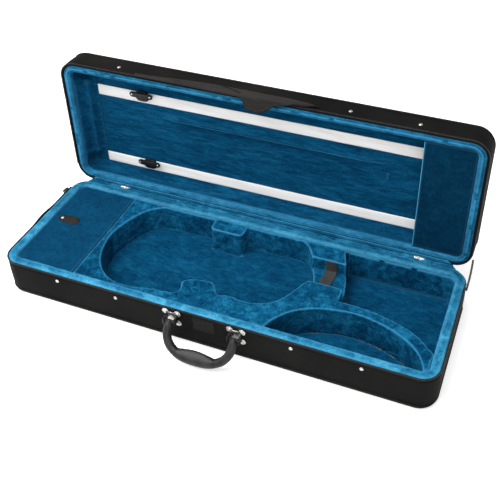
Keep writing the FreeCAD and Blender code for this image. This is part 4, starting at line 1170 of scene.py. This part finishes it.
# ------------------------------------------------------------------ sheet-music pocket
# Behind the slit a flat piece of the same plush forms the pocket's front. Its top edge
# is turned over and stitched.


def pocket_at(x, y):
    near = 1 - between(y, SLIT, SLIT + 24)
    edge = 1 - between(y, SLIT, SLIT + 3)
    ends = between(x, POCKET_LOW.x, POCKET_LOW.x + 12) * (
        1 - between(x, POCKET_HIGH.x - 12, POCKET_HIGH.x)
    )
    lift = 0.15 + 0.85 * (0.6 + 0.8 * crease(x, y)) * ends
    return (x, y, FLOOR - lift - 0.35 * ends + 2.2 * near * ends - 0.4 * edge * ends)


pocket = piece(
    "music_pocket_front",
    cloth(
        spread(POCKET_LOW.x, POCKET_HIGH.x, 4),
        np.concatenate([spread(SLIT + 0.7, SLIT + 4, 0.8), spread(SLIT + 6, POCKET_HIGH.y, 2.4)]),
        pocket_at, -0.9,
    ),
    "lid", lid_shaded_plush, ["music_pocket"], lid=True,
)
thread_blue = nylon("thread_blue", (0.03, 0.16, 0.30), (0.09, 0.33, 0.52), 0.7, 0.5)
blue_stitch = row_tree("blue_stitch_row", "GeometryNodeMeshUVSphere", thread_blue)
row(
    "slit_hem_stitches", blue_stitch,
    [(x, SLIT - 1.0, floor_at(x, SLIT - 1.0)[2] - 0.15)
     for x in spread(POCKET_LOW.x + 8, POCKET_HIGH.x - 8, 5)],
    2.6, 2.2, 0.7, 0.5, "lid", "wall_foam", thread_blue, lid=True,
)
row(
    "ramp_seam_stitches", stitch,
    [(seam_x + 0.8, y, FLOOR - 0.9) for y in spread(-RAMP_Y - 8, RAMP_Y + 10, 4)],
    3.6, 2.8, 1.3, 0.9, "lid", "wall_foam", thread_black, lid=True,
)

# ------------------------------------------------------------------ bow strips
# Two bands of white satin are stretched along the lid's floor, so that the bows lie on
# a smooth face. Both ends are tucked under.
satin, tree, main = shader("white_satin")
faint = grain(tree, (0.3, 3, 3), 40, 5, 0.4)
tree.links.new(
    colours(tree, faint, [(0.3, (0.86, 0.83, 0.80)), (0.62, (0.97, 0.95, 0.925))]),
    main.inputs["Base Color"],
)
yarn = grain(tree, (1, 30, 30), 60, 3)
main.inputs["Roughness"].default_value = 0.42
main.inputs["Sheen Weight"].default_value = 0.35
main.inputs["Specular IOR Level"].default_value = 0.5
relief(tree, main, sums(tree, [(yarn, 0.5), (faint, 0.8)]), 0.25, 0.5)
for strip, name in (("upper_bow_strip", "upper_bow_satin"), ("lower_bow_strip", "lower_bow_satin")):
    low, high = closed_box(strip)

    def satin_at(x, y, low=low, high=high):
        side = abs(2 * (y - low.y) / (high.y - low.y) - 1)
        ends = min(x - low.x, high.x - x)
        tuck = 0.7 * (1 - between(ends, 0, 2.5)) + 0.35 * side ** 6
        ripple = 0.22 * noise.noise(Vector((x / 45, y / 16, low.y)))
        wander = 0.5 * noise.noise(Vector((x / 80, low.y, 2)))
        return (x, y + wander, low.z + tuck + ripple)

    strip_piece = piece(
        name, cloth(spread(low.x, high.x, 3), spread(low.y, high.y, 1.6), satin_at, -0.7),
        "lid", satin, [strip], lid=True,
    )

# ------------------------------------------------------------------ bow clips
# Each bow is held by a moulded black toggle on a small base, screwed through the satin.
# It turns a quarter to let the bow out, and has a bright screw at each end.
plastic = metal("black_plastic", (0.004, 0.004, 0.004), 0.3, (0.010, 0.010, 0.010), coat=0.08)
plastic.node_tree.nodes["Principled BSDF"].inputs["Specular IOR Level"].default_value = 0.3


def mirrored(shape):
    """The shape turned over, so that its crown faces down, into the closed case."""
    verts, faces = shape
    return [(x, y, -z) for x, y, z in verts], faces


BASE_OUT = 7.0
SCREW_OUT = 19.0
for side in ("upper", "lower"):
    low, high = closed_box(f"{side}_bow_base")
    base_outline = stadium(
        (low.x + high.x) / 2, (low.y + high.y + BASE_OUT) / 2, high.x - low.x,
        high.y - low.y + BASE_OUT, 8,
    )
    piece(
        f"{side}_clip_base", mirrored(slab(base_outline, -high.z, -low.z, 1.4, 0.0)), "lid",
        plastic, [f"{side}_bow_base"], lid=True,
    )
    low, high = closed_box(f"{side}_bow_clip")
    cx, cy = (low.x + high.x) / 2, (low.y + high.y) / 2
    bar, bar_faces = slab(
        stadium(cx, cy, high.x - low.x, high.y - low.y, 10), -low.z - 4.3, -low.z - 0.3, 1.5, 0.3
    )
    neck, neck_faces = slab(
        [(cx + 3.6 * math.cos(a), cy + 3.6 * math.sin(a))
         for a in (math.tau * k / 20 for k in range(20))],
        -high.z, -low.z - 4.0, 0.3,
    )
    faces = bar_faces + [tuple(i + len(bar) for i in face) for face in neck_faces]
    piece(
        f"{side}_toggle", mirrored((bar + neck, faces)), f"{side}_clip", plastic,
        [f"{side}_bow_clip"], lid=True,
    )
    domes(
        f"{side}_toggle_screws", [(cx + x, cy, low.z + 0.45) for x in (-SCREW_OUT, SCREW_OUT)],
        (0, 0, -1), 2.0, 0.8, f"{side}_clip", lid=True,
    )

# ------------------------------------------------------------------ bow tip pocket
# A panel of darker plush is stretched over the lid's right end at the bead's depth. The
# bows' tips slide in behind its bound left edge.
tip_plush = plush(
    "tip_plush", (0.0005, 0.015, 0.038), (0.0008, 0.024, 0.056), (0.002, 0.040, 0.088), scale=24,
    spread_of=0.16,
)
tip_low, tip_high = closed_box("bow_tip_pocket")


def tip_at(x, y):
    u = (x - tip_low.x) / (tip_high.x - tip_low.x)
    v = 2 * (y - tip_low.y) / (tip_high.y - tip_low.y) - 1
    sag = 1.5 * (1 - v ** 4) * (1 - u ** 3)
    dent = 0.5 * noise.noise(Vector((x / 50, y / 40, 1)))
    hem = 0.5 * math.sin(math.pi * min(1, (x - tip_low.x) / 7))
    return (x, y, tip_low.z + 0.3 + sag + dent - hem)


tip = piece(
    "bow_tip_panel",
    cloth(spread(tip_low.x, tip_high.x - 0.2, 2), spread(tip_low.y + 0.3, tip_high.y - 0.3, 3),
          tip_at, -1.0),
    "lid", tip_plush, ["bow_tip_pocket"], lid=True,
)
binding = []
for y in spread(tip_low.y + 2, tip_high.y - 2, 3):
    x, _, z = tip_at(tip_low.x, y)
    binding.append((x, y, z))
verts, faces = [], []
for k, (x, y, z) in enumerate(binding):
    for step in range(8):
        a = math.tau * step / 8
        verts.append((x + 0.5 + 0.9 * math.cos(a), y, z + 0.5 + 0.9 * math.sin(a)))
    if k:
        for step in range(8):
            up = (step + 1) % 8
            a, b = (k - 1) * 8, k * 8
            faces.append((a + step, b + step, b + up, a + up))
faces += [tuple(range(8)), tuple(reversed(range(len(verts) - 8, len(verts))))]
# Painted highlight: the binding uses the bead's paler plush copy, a bright line along the pocket's edge.
piece("bow_tip_binding", (verts, faces), "lid", rim_plush, lid=True)
lid_rivet_high = (closed_box("lid_rivets")[0].z + closed_box("lid_rivets")[1].z) / 2
domes(
    "lid_side_rivets", [(x, RIVET_FACE, lid_rivet_high) for x in (-277, 160, 277)],
    (0, -1, 0), *RIVET_SIZES, "lid", ["lid_rivets"], lid=True,
)

# ------------------------------------------------------------------ closing flap
# A tongue of the cover cloth is sewn on top of the lid's front and folds over its edge.
# Closed, it drops over the zip and holds by hook and loop. It is shaped directly, with
# a bound edge, and bends at the fold.
FOLD_Y, FOLD_Z = 136.0, 338.9
WING_Y, WING_Z = 137.2, 336.6
FLAP_THICK = 1.4
FLAP_X = [-235, -200, -165, -120, -90, -56, -37, -26, -22, -14, 0, 13, 20, 28, 39, 53, 65, 85, 108]
FLAP_DROP = [0, 0.3, 0.8, 1.5, 2, 2.5, 3, 5, 22, 28.5, 29, 25, 19.5, 12, 6, 2.5, 1, 0.3, 0]
FLAP_BACK = [141, 147, 153, 158] + [160] * 12 + [159, 157, 152]
FLAP_RISE = [0, 0.1, 0.2, 0.3, 0.4, 0.6, 0.85, 1, 1, 1, 1, 1, 1, 0.9, 0.7, 0.4, 0.25, 0.1, 0]
FLAP_REACH = [1] * 15 + [0.97, 0.86, 0.7, 0.3]


def eased(x, xs, values):
    """A smooth curve through values at xs, flat at its peaks."""
    xs, values = np.array(xs, float), np.array(values, float)
    steps = np.diff(values) / np.diff(xs)
    slopes = np.zeros(len(xs))
    for k in range(1, len(xs) - 1):
        if steps[k - 1] * steps[k] > 0:
            slopes[k] = 2 / (1 / steps[k - 1] + 1 / steps[k])
    k = min(len(xs) - 2, max(0, int(np.searchsorted(xs, x, side="right") - 1)))
    w = xs[k + 1] - xs[k]
    t = (x - xs[k]) / w
    return (
        values[k] * (2 * t**3 - 3 * t**2 + 1) + w * slopes[k] * (t**3 - 2 * t**2 + t)
        + values[k + 1] * (3 * t**2 - 2 * t**3) + w * slopes[k + 1] * (t**3 - t**2)
    )


LIP_Y, LIP_Z = 139.3, 332.6
LID_LEAN = math.radians(2.1)


def lid_front(y):
    """The height of the open lid's front side, from its mouth back."""
    return LIP_Z - (y - LIP_Y) * math.tan(LID_LEAN)


def flap_path(x):
    drop, back = eased(x, FLAP_X, FLAP_DROP), eased(x, FLAP_X, FLAP_BACK)
    rise = eased(x, FLAP_X, FLAP_RISE)
    top, front = WING_Z + (FOLD_Z - WING_Z) * rise, WING_Y - (WING_Y - FOLD_Y) * rise
    points = [
        (back, lid_front(back) + 1.3), (back - 2, lid_front(back) + 2.1),
        (145 + 0.4 * (back - 145), lid_front(148) + 3.2 + 0.4 * rise),
        (front + 4.0, top - 1.0), (front + 1.2, top - 0.1), (front - 0.1, top - 0.6),
        (front - 0.75, top - 2.0), (front - 0.8, top - 2.6 - drop * 0.35),
        (front - 0.8, top - 2.8 - drop * 0.93),
    ]
    return points


FLAP_STEPS = 34


def flap_line(x):
    path = along_path(flap_path(x), 0.5)
    reach = np.concatenate([[0], np.cumsum(np.linalg.norm(np.diff(path, axis=0), axis=1))])
    at = np.linspace(0, reach[-1] * eased(x, FLAP_X, FLAP_REACH), FLAP_STEPS + 1)
    return np.stack([np.interp(at, reach, path[:, 0]), np.interp(at, reach, path[:, 1])], axis=1)


flap_xs = np.concatenate(
    [
        spread(-235, -40, 4), spread(-37, -28, 2), spread(-27, -11, 0.8), spread(-9, 50, 2),
        spread(54, 108, 3),
    ]
)
flap_lines = {float(x): flap_line(float(x)) for x in flap_xs}


def flap_at(x, v):
    y, z = flap_lines[float(x)][int(v)]
    hang = max(0.0, min(1.0, (FOLD_Z - 3 - z) / 30))
    wave = 0.45 * hang * math.sin(x / 17.0) + 0.35 * noise.noise(Vector((x / 30, z / 20, 0.7)))
    front = y < 137
    in_y = wave if z < FOLD_Z - 2 and front else 0.4 * wave
    return (x, y - in_y, z + (0 if front else 0.5 * wave))


flap_cloth = nylon("flap_cloth", (0.014, 0.0135, 0.013), (0.036, 0.034, 0.0325), 0.5, 0.9)
flap_mesh = outward(
    "closing_flap_cloth", cloth(flap_xs, range(FLAP_STEPS + 1), flap_at, -FLAP_THICK)
)
flap = new_object("closing_flap_cloth", smooth(flap_mesh))
flap.data.materials.append(flap_cloth)
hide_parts("flap_band", "closing_flap")
FLAP_BEND = ("lid", "flap", (0, 0.150, 0.336), (0, 0.136, 0.330))
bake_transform(flap, *FLAP_BEND)

edge = [flap_at(float(x), FLAP_STEPS) for x in flap_xs if -26 <= x <= 106]
fold_back = [(-72, 157.0), (-62, 154.5), (-50, 150.0), (-40, 145.0), (-33, 140.5), (-29, 137.0)]
edge = [(x, y, lid_front(y) + 3.0 + 2.6 * between(x, -60, -30)) for x, y in fold_back] + edge


def tube(path, radius, sides=8):
    """A round cord along a path in mm, with closed ends."""
    path = np.array(path, float)
    ways = np.gradient(path, axis=0)
    ways /= np.linalg.norm(ways, axis=1, keepdims=True)
    side = Vector(ways[0]).orthogonal().normalized()
    verts, faces = [], []
    for k, (spot, way) in enumerate(zip(path, ways)):
        way = Vector(way)
        side = (side - way * side.dot(way)).normalized()
        other = way.cross(side)
        for step in range(sides):
            a = math.tau * step / sides
            verts.append(Vector(spot) + (side * math.cos(a) + other * math.sin(a)) * radius)
        if k:
            for step in range(sides):
                up = (step + 1) % sides
                a, b = (k - 1) * sides, k * sides
                faces.append((a + step, a + up, b + up, b + step))
    faces.append(tuple(reversed(range(sides))))
    faces.append(tuple(range(len(verts) - sides, len(verts))))
    return verts, faces


hem_mesh = bpy.data.meshes.new("flap_binding")
verts, faces = tube(along_path([(x, y + 0.7, z) for x, y, z in edge], 2.0), 1.15)
hem_mesh.from_pydata((np.array([tuple(v) for v in verts]) * MM).tolist(), [], faces)
hem = new_object("flap_binding", smooth(hem_mesh))
hem.data.materials.append(cord_cloth)
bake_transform(hem, *FLAP_BEND)
thread_grey = nylon("thread_grey", (0.05, 0.042, 0.036), (0.12, 0.10, 0.085), 0.7, 0.5)
grey_stitch = row_tree("grey_stitch_row", "GeometryNodeMeshUVSphere", thread_grey)
hem_line = []
for x in spread(-19, 36, 1.0):
    line = flap_line(float(x))
    hem_line.append((x, FOLD_Y - 1.5, line[-1, 1] + 3.4))
row(
    "flap_hem_stitches", grey_stitch, hem_line, 2.8, 2.1, 0.55, 0.5, "lid", "black_cloth",
    thread_grey, bend=FLAP_BEND,
)
flap_area = flap_length = 0.0
for a, b in zip(flap_xs, flap_xs[1:]):
    length = float(np.linalg.norm(np.diff(flap_lines[float(a)], axis=0), axis=1).sum())
    flap_area += length * float(b - a)
    flap_length = max(flap_length, length)

# ------------------------------------------------------------------ hook and loop
# A rectangle of loop pile is sewn inside the tongue, and its hook partner on the tray's
# front, between the handle's mounts.


def bristle(name, dark, tips, gap):
    made, tree, main = shader(name)
    at = put(tree, "TexCoord").outputs["Object"]
    dots = put(tree, "TexVoronoi", {"Vector": at, "Scale": 1000 / gap}).outputs["Distance"]
    tree.links.new(
        colours(tree, dots, [(0.1, tips), (0.55, dark)]), main.inputs["Base Color"]
    )
    main.inputs["Roughness"].default_value = 0.8
    main.inputs["Specular IOR Level"].default_value = 0.2
    relief(tree, main, dots, -0.8, 0.9)
    return made


def woven_patch(name, low, high, axis, finish, body, node, flip=1):
    """A thin rectangle that stands on a plane across axis, with a sewn-down border."""
    sides = [k for k in range(3) if k != axis]
    us = spread(low[sides[0]], high[sides[0]], 1.0)
    vs = spread(low[sides[1]], high[sides[1]], 1.0)

    def at(u, v):
        edge = min(u - us[0], us[-1] - u, v - vs[0], vs[-1] - v)
        lift = between(edge, 0, 1.2) - 0.45 * (between(edge, 1.2, 1.9) - between(edge, 2.2, 3.0))
        lift += 0.12 * noise.noise(Vector((u / 1.7, v / 1.7, 0)))
        spot = [0, 0, 0]
        spot[sides[0]], spot[sides[1]] = u, v
        base, top = (high[axis], low[axis]) if flip > 0 else (low[axis], high[axis])
        spot[axis] = base + (top - base) * (0.35 + 0.65 * lift)
        return spot

    return piece(name, cloth(us, vs, at, 0.3 * flip), body, finish, [node])


hook = bristle("hook_pile", (0.004, 0.004, 0.0042), (0.035, 0.033, 0.031), 1.1)
patch_low, patch_high = (Vector(v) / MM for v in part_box("hook_patch"))
woven_patch("tray_hook_patch", patch_low, patch_high, 1, hook, "tray", "hook_patch")
loop = bristle("loop_pile", (0.006, 0.006, 0.006), (0.05, 0.048, 0.046), 0.8)
LOOP_X, LOOP_DROP = (-15, 12), (6, 26)
loop_low, loop_high = (Vector(v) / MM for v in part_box("loop_patch"))
woven_patch(
    "lid_loop_patch", (LOOP_X[0], loop_low.y, FOLD_Z - LOOP_DROP[1]),
    (LOOP_X[1], loop_high.y, FOLD_Z - LOOP_DROP[0]), 1, loop, "flap", "loop_patch",
)

# ------------------------------------------------------------------ hinges
# Two short butt hinges, pressed from nickelled steel, join the lid to the tray's rear
# edge. A long strip of cover cloth runs over the gap between them and bends with it.


def softened(node, width, segments=3, angle=40):
    """A copy of a CAD piece with its facets joined and its sharp edges rounded."""
    work = bmesh.new()
    work.from_mesh(frame["nodes"][node].data)
    bmesh.ops.remove_doubles(work, verts=work.verts, dist=1e-6)
    bmesh.ops.dissolve_limit(
        work, angle_limit=math.radians(3), verts=work.verts, edges=work.edges
    )
    bmesh.ops.recalc_face_normals(work, faces=work.faces)
    sharp = [
        e for e in work.edges
        if len(e.link_faces) == 2 and e.calc_face_angle(0) > math.radians(angle)
    ]
    bmesh.ops.bevel(
        work, geom=sharp, offset=width * MM, segments=segments, affect="EDGES", profile=0.5,
        clamp_overlap=True,
    )
    mesh = bpy.data.meshes.new(node + "_soft")
    work.to_mesh(mesh)
    work.free()
    return smooth(mesh)


def finished(name, mesh, body, finish, node):
    return dress(new_object(name, mesh), body, finish, [node])


for name, node, body in [
    ("tray_hinge_leaves", "hinge_tray_leaves", "tray"),
    ("lid_hinge_leaves", "hinge_lid_leaves", "lid"), ("hinge_pin_rods", "hinge_pins", None),
]:
    if body is None:
        body = body_of(frame["nodes"][node])[0]
    finished(name, softened(node, 0.25, 2), body, nickel, node)

# The strip of cloth over the hinge line, with windows for the two hinges.
tape_copy = new_object("hinge_cloth", softened("hinge_tape", 0.45, 2))
tape_copy.data.materials.append(cover_cloth)
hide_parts("hinge_tape")
work = bmesh.new()
work.from_mesh(tape_copy.data)
bmesh.ops.triangulate(work, faces=work.faces)
for _ in range(3):
    long_edges = [e for e in work.edges if e.calc_length() > 9 * MM]
    bmesh.ops.subdivide_edges(work, edges=long_edges, cuts=1)
    bmesh.ops.triangulate(work, faces=work.faces)
work.to_mesh(tape_copy.data)
work.free()
smooth(tape_copy.data)
swell(tape_copy.data, 20, 0.3)
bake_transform(tape_copy, "tray", "lid", (0, 0.1305, 0.0720), (0, 0.1340, 0.0760))

# Inside, the plush carries on from the tray's rim to the lid's, and hides the hinge line.
open_bead = [
    OPENED @ (Vector((0, WIDTH / 2 - inset, z)) * MM) / MM
    for inset, z in ((5.0, LID_FOOT - 8.2), (9.0, LID_FOOT - 8.4))
]
HINGE_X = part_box("hinge_tray_leaves")[1].x / MM - 20
lining_path = along_path(
    [
        (WIDTH / 2 - 6.5, RIM_TOP - 0.9), (WIDTH / 2 - 3.5, RIM_TOP - 0.4),
        (WIDTH / 2 + 1.0, RIM_TOP + 1.2), (WIDTH / 2 + 3.6, RIM_TOP + 2.2),
        (open_bead[0].y - 0.7, open_bead[0].z - 1.6), (open_bead[1].y, open_bead[1].z),
    ],
    1.2,
)
lining_end = LENGTH / 2 - CORNER + 8


def lining_at(x, v):
    last = len(lining_path) - 1
    ends = between(lining_end - abs(x), 0, 16)
    y, z = (
        np.interp(v * (0.15 + 0.85 * ends), range(last + 1), lining_path[:, k]) for k in range(2)
    )
    over = max(between(24 - abs(x - side), 0, 4) for side in (-HINGE_X, HINGE_X))
    window = max(between(9 - abs(x - side - 7), 0, 2) for side in (-HINGE_X, HINGE_X))
    lift = 2.3 * over * (1 - window) * math.sin(math.pi * v / last)
    return (x, y - 0.4 * lift, z + lift + 0.3 * noise.noise(Vector((x / 12, y / 5, 0))))


lining_mesh = outward(
    "hinge_lining",
    cloth(spread(-lining_end, lining_end, 4), range(len(lining_path)), lining_at, 1.0),
)
lining = new_object("hinge_lining", smooth(lining_mesh))
# Painted highlight: the lining uses the lid bead's paler plush copy.
lining.data.materials.append(lid_rim_lit_plush)
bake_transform(lining, "tray", "lid", (0, 0.1290, 0.0740), (0, 0.1380, 0.0790))

# ------------------------------------------------------------------ zip end tape
# The zip's spare end runs as a narrow black tape from the tray's right rear corner up
# to the lid's, and follows the lid round.
stay_low, stay_high = (Vector(v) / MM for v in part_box("zip_end_tape"))
stay_shape = cloth(
    spread(0, 1, 1 / 40), np.linspace(-1, 1, 7),
    lambda u, v: (
        stay_high.x + 0.2 + 0.9 * math.sin(math.pi * u) + 1.3 * v,
        stay_low.y + 2.0 + (stay_high.y - stay_low.y - 4.0) * u + 2.3 * v * 0.72,
        stay_low.z + 2.0 + (stay_high.z - stay_low.z - 4.0) * u - 2.3 * v * 0.69,
    ),
    0.9,
)
stay = new_object("zip_end_ribbon", smooth(outward("zip_end_ribbon", stay_shape)))
stay.data.materials.append(webbing)
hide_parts("zip_end_tape")
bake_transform(stay, "tray", "lid", (0.395, 0.105, 0.074), (0.395, 0.122, 0.092))

# ------------------------------------------------------------------ handle's mounts
# Each end of the handle turns on a pin between two moulded black cheeks. They stand on a
# pressed nickel plate with four lobes, and a rivet goes through every lobe.
finished(
    "handle_mount_plates", softened("handle_plates", 0.35, 2), "tray", nickel,
    "handle_plates",
)
rivet_low, rivet_high = (Vector(v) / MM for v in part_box("handle_rivets"))
plate_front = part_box("handle_plates")[0].y / MM
HEAD = 3.6
out = (rivet_high.z - rivet_low.z) / 2 - HEAD
middle_z = (rivet_low.z + rivet_high.z) / 2
heads = [
    (x + dx, plate_front + 0.1, middle_z + dz)
    for x in (rivet_low.x + HEAD + out, rivet_high.x - HEAD - out)
    for dx in (-out, out) for dz in (-out, out)
]
domes(
    "handle_mount_rivets", heads, (0, -1, 0), 2.7, 1.5, "tray", ["handle_rivets"],
)
finished(
    "handle_mount_cheeks", softened("handle_posts", 1.3, 4), "tray", plastic,
    "handle_posts",
)

# ------------------------------------------------------------------ handle
# A steel bow, padded and wrapped in black leathercloth, hangs between the cheeks by a pin
# at each end. A flat leaf-shaped grip is sewn round its middle.
swing = next(joint for joint in frame["joints"] if joint["name"] == "handle_swing")
PIVOT = Vector(swing["pos_m"]) / MM
bail_low, bail_high = (Vector(v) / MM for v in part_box("handle_bail"))
DROOP = math.radians(50)
ROD = 7.5
REACH = 52.0
BOW = 2.7
ARM = (bail_high.x - bail_low.x) / 2 - (ROD + 0.8 + 3.0)


def bow_path(gap):
    """The bow's middle line in its own plane, as (across, out from the pivots)."""
    fine = [(-ARM, -2.0)]
    for step in range(1, 181):
        a = math.pi / 2 * step / 180
        bulge = 1.6 * math.sin(math.pi * min(1.0, a / 1.1))
        fine.append(
            (-(ARM + bulge) * math.cos(a) ** (2 / BOW), REACH * math.sin(a) ** (2 / BOW))
        )
    half = along_path(fine, gap)
    return [tuple(p) for p in half] + [(-x, out) for x, out in half[-2::-1]]


def hung(across, out, off=0.0):
    """A point of the handle: off is its distance in front of the handle's own plane."""
    return (
        PIVOT.x + across, PIVOT.y - out * math.cos(DROOP) - off * math.sin(DROOP),
        PIVOT.z - out * math.sin(DROOP) + off * math.cos(DROOP),
    )


def loft(sections):
    """Joins rings of points, and closes both ends."""
    verts, faces, size = [], [], len(sections[0])
    for k, section in enumerate(sections):
        verts += section
        for j in range(size if k else 0):
            up = (j + 1) % size
            a, b = (k - 1) * size, k * size
            faces.append((a + j, a + up, b + up, b + j))
    faces.append(tuple(reversed(range(size))))
    faces.append(tuple(range(len(verts) - size, len(verts))))
    return verts, faces


def bow_sections(path, half, sides=20):
    """Rings round the bow: half(k) gives the outer, inner and side sizes there."""
    path = np.array(path)
    ways = np.gradient(path, axis=0)
    ways /= np.linalg.norm(ways, axis=1, keepdims=True)
    rings = []
    for k, (spot, way) in enumerate(zip(path, ways)):
        inward = (way[1], -way[0])
        outer, inner, side = half(k, len(path))
        section = []
        for step in range(sides):
            a = math.tau * step / sides
            c, s = math.cos(a), math.sin(a)
            size = inner if c > 0 else outer
            flat = side * s * (1 - 0.45 * max(0.0, c) * (inner - outer) / max(inner, 1.0))
            section.append(
                hung(spot[0] + inward[0] * size * c, spot[1] + inward[1] * size * c, flat)
            )
        rings.append(section)
    return rings


def rod_size(k, count):
    end = min(k, count - 1 - k)
    size = ROD * (0.72 + 0.28 * between(end, 0, 5))
    return size, size, size


def grip_size(k, count):
    t = abs(2 * k / (count - 1) - 1)
    swell_now = (1 - t ** 2.2)
    return ROD + 0.25 + 0.5 * swell_now, ROD + 0.25 + 9.0 * swell_now, ROD + 0.25 + 0.5 * swell_now


wrap = leather("handle_leather", (0.010, 0.010, 0.0105), (0.030, 0.029, 0.029), 0.4, 1.5)
bow_verts, bow_faces = loft(bow_sections(bow_path(2.0), rod_size))
for sign in (-1, 1):
    start = len(bow_verts)
    pin = [
        [hung(sign * ARM + x, r * math.cos(a), r * math.sin(a))
         for a in (math.tau * j / 20 for j in range(20))]
        for x, r in ((-11.2, 2.2), (-10.8, 2.9), (10.8, 2.9), (11.2, 2.2))
    ]
    pin_verts, pin_faces = loft(pin)
    bow_verts += pin_verts
    bow_faces += [tuple(i + start for i in face) for face in pin_faces]
piece(
    "handle_bow", (bow_verts, bow_faces), "handle", wrap, ["handle_bail"],
    bumps=[(14, 0.2)],
)
whole = bow_path(2.0)
centre = len(whole) // 2
leaf = whole[centre - 18:centre + 19]
piece(
    "handle_grip_leaf", loft(bow_sections(leaf, grip_size, 28)), "handle", wrap,
    ["handle_grip"], bumps=[(16, 0.25)],
)

# ------------------------------------------------------------------ zip slider
# A black enamelled slider sits at the zip's left end. Its pull is a flat tag that hangs
# from a crossbar.
enamel = metal("zip_enamel", (0.013, 0.013, 0.014), 0.24, (0.05, 0.048, 0.045), coat=0.4)
finished(
    "zip_runner", softened("zip_slider", 0.5, 3), "zip_slider", enamel, "zip_slider"
)
finished("zip_tag", softened("zip_pull", 0.45, 3), "zip_pull", enamel, "zip_pull")

# ------------------------------------------------------------------ floor, light, camera
# The open case stands on a pale seamless floor, under large soft lamps, and is seen from
# its front right side, well above its rim.
sweep_mesh = bpy.data.meshes.new("sweep")
reach = 14.0
across = 24
sweep_mesh.from_pydata(
    [
        (reach * (2 * i / across - 1), reach * (2 * j / across - 1), -0.0006)
        for j in range(across + 1) for i in range(across + 1)
    ],
    [],
    [
        (j * (across + 1) + i, j * (across + 1) + i + 1, (j + 1) * (across + 1) + i + 1,
         (j + 1) * (across + 1) + i)
        for j in range(across) for i in range(across)
    ],
)
paper, tree, main = shader("paper")
faint = grain(tree, (1, 1, 1), 30, 3)
tree.links.new(
    colours(tree, faint, [(0.3, (0.93, 0.93, 0.93)), (0.7, (0.96, 0.96, 0.96))]),
    main.inputs["Base Color"],
)
main.inputs["Roughness"].default_value = 0.9
main.inputs["Specular IOR Level"].default_value = 0.0
glow = put(tree, "Emission", {"Color": (1, 1, 1, 1), "Strength": 0.5})
both = put(tree, "AddShader", {0: main.outputs[0], 1: glow.outputs[0]})
seen = put(tree, "LightPath").outputs["Is Camera Ray"]
shown = put(tree, "MixShader", {0: seen, 1: main.outputs[0], 2: both.outputs[0]})
tree.links.new(shown.outputs[0], tree.nodes["Material Output"].inputs["Surface"])
sweep = new_object("sweep", sweep_mesh)
sweep.data.materials.append(paper)

world = bpy.data.worlds.new("studio")
bpy.context.scene.world = world
world.use_nodes = True
sky = world.node_tree
plain = sky.nodes["Background"]
plain.inputs["Color"].default_value = (1, 1, 1, 1)
plain.inputs["Strength"].default_value = 0.55
white = put(sky, "Background", {"Color": (1, 1, 1, 1), "Strength": 1.0})
seen = put(sky, "LightPath").outputs["Is Camera Ray"]
shown = put(sky, "MixShader", {0: seen, 1: plain.outputs[0], 2: white.outputs[0]})
sky.links.new(shown.outputs[0], sky.nodes["World Output"].inputs["Surface"])

for name, power, size, spot, aim in [
    ("lamp_above", 47, 1.5, (-0.5, -0.6, 2.1), (0, 0, 0.1)),
    ("lamp_left", 9, 1.2, (-1.9, -0.5, 0.9), (0, 0, 0.12)),
    ("lamp_front", 11, 1.2, (0.7, -2.2, 1.2), (0, 0, 0.1)),
]:
    lamp = bpy.data.lights.new(name, "AREA")
    lamp.energy = power
    lamp.size = size
    holder = bpy.data.objects.new(name, lamp)
    bpy.context.scene.collection.objects.link(holder)
    holder.location = spot
    holder.rotation_euler = (Vector(aim) - Vector(spot)).to_track_quat("-Z", "Y").to_euler()

lens = bpy.data.cameras.new("camera")
lens.sensor_width = 36.0
lens.lens = 55.99
lens.shift_x, lens.shift_y = -0.069, -0.128
lens.clip_start, lens.clip_end = 0.02, 60
yaw, pitch, roll = math.radians(-21.63), math.radians(37.84), math.radians(1.0)
ahead = Vector(
    (math.sin(yaw) * math.cos(pitch), math.cos(yaw) * math.cos(pitch), -math.sin(pitch))
)
level = Vector((math.cos(yaw), -math.sin(yaw), 0))
down = ahead.cross(level)
right = math.cos(roll) * level + math.sin(roll) * down
below = -math.sin(roll) * level + math.cos(roll) * down
camera = bpy.data.objects.new("camera", lens)
bpy.context.scene.collection.objects.link(camera)
turned = Matrix((right, -below, -ahead)).transposed().to_4x4()
camera.matrix_world = Matrix.Translation((0.4563, -0.8908, 1.0210)) @ turned
bpy.context.scene.camera = camera
bpy.context.scene.view_settings.view_transform = "Standard"
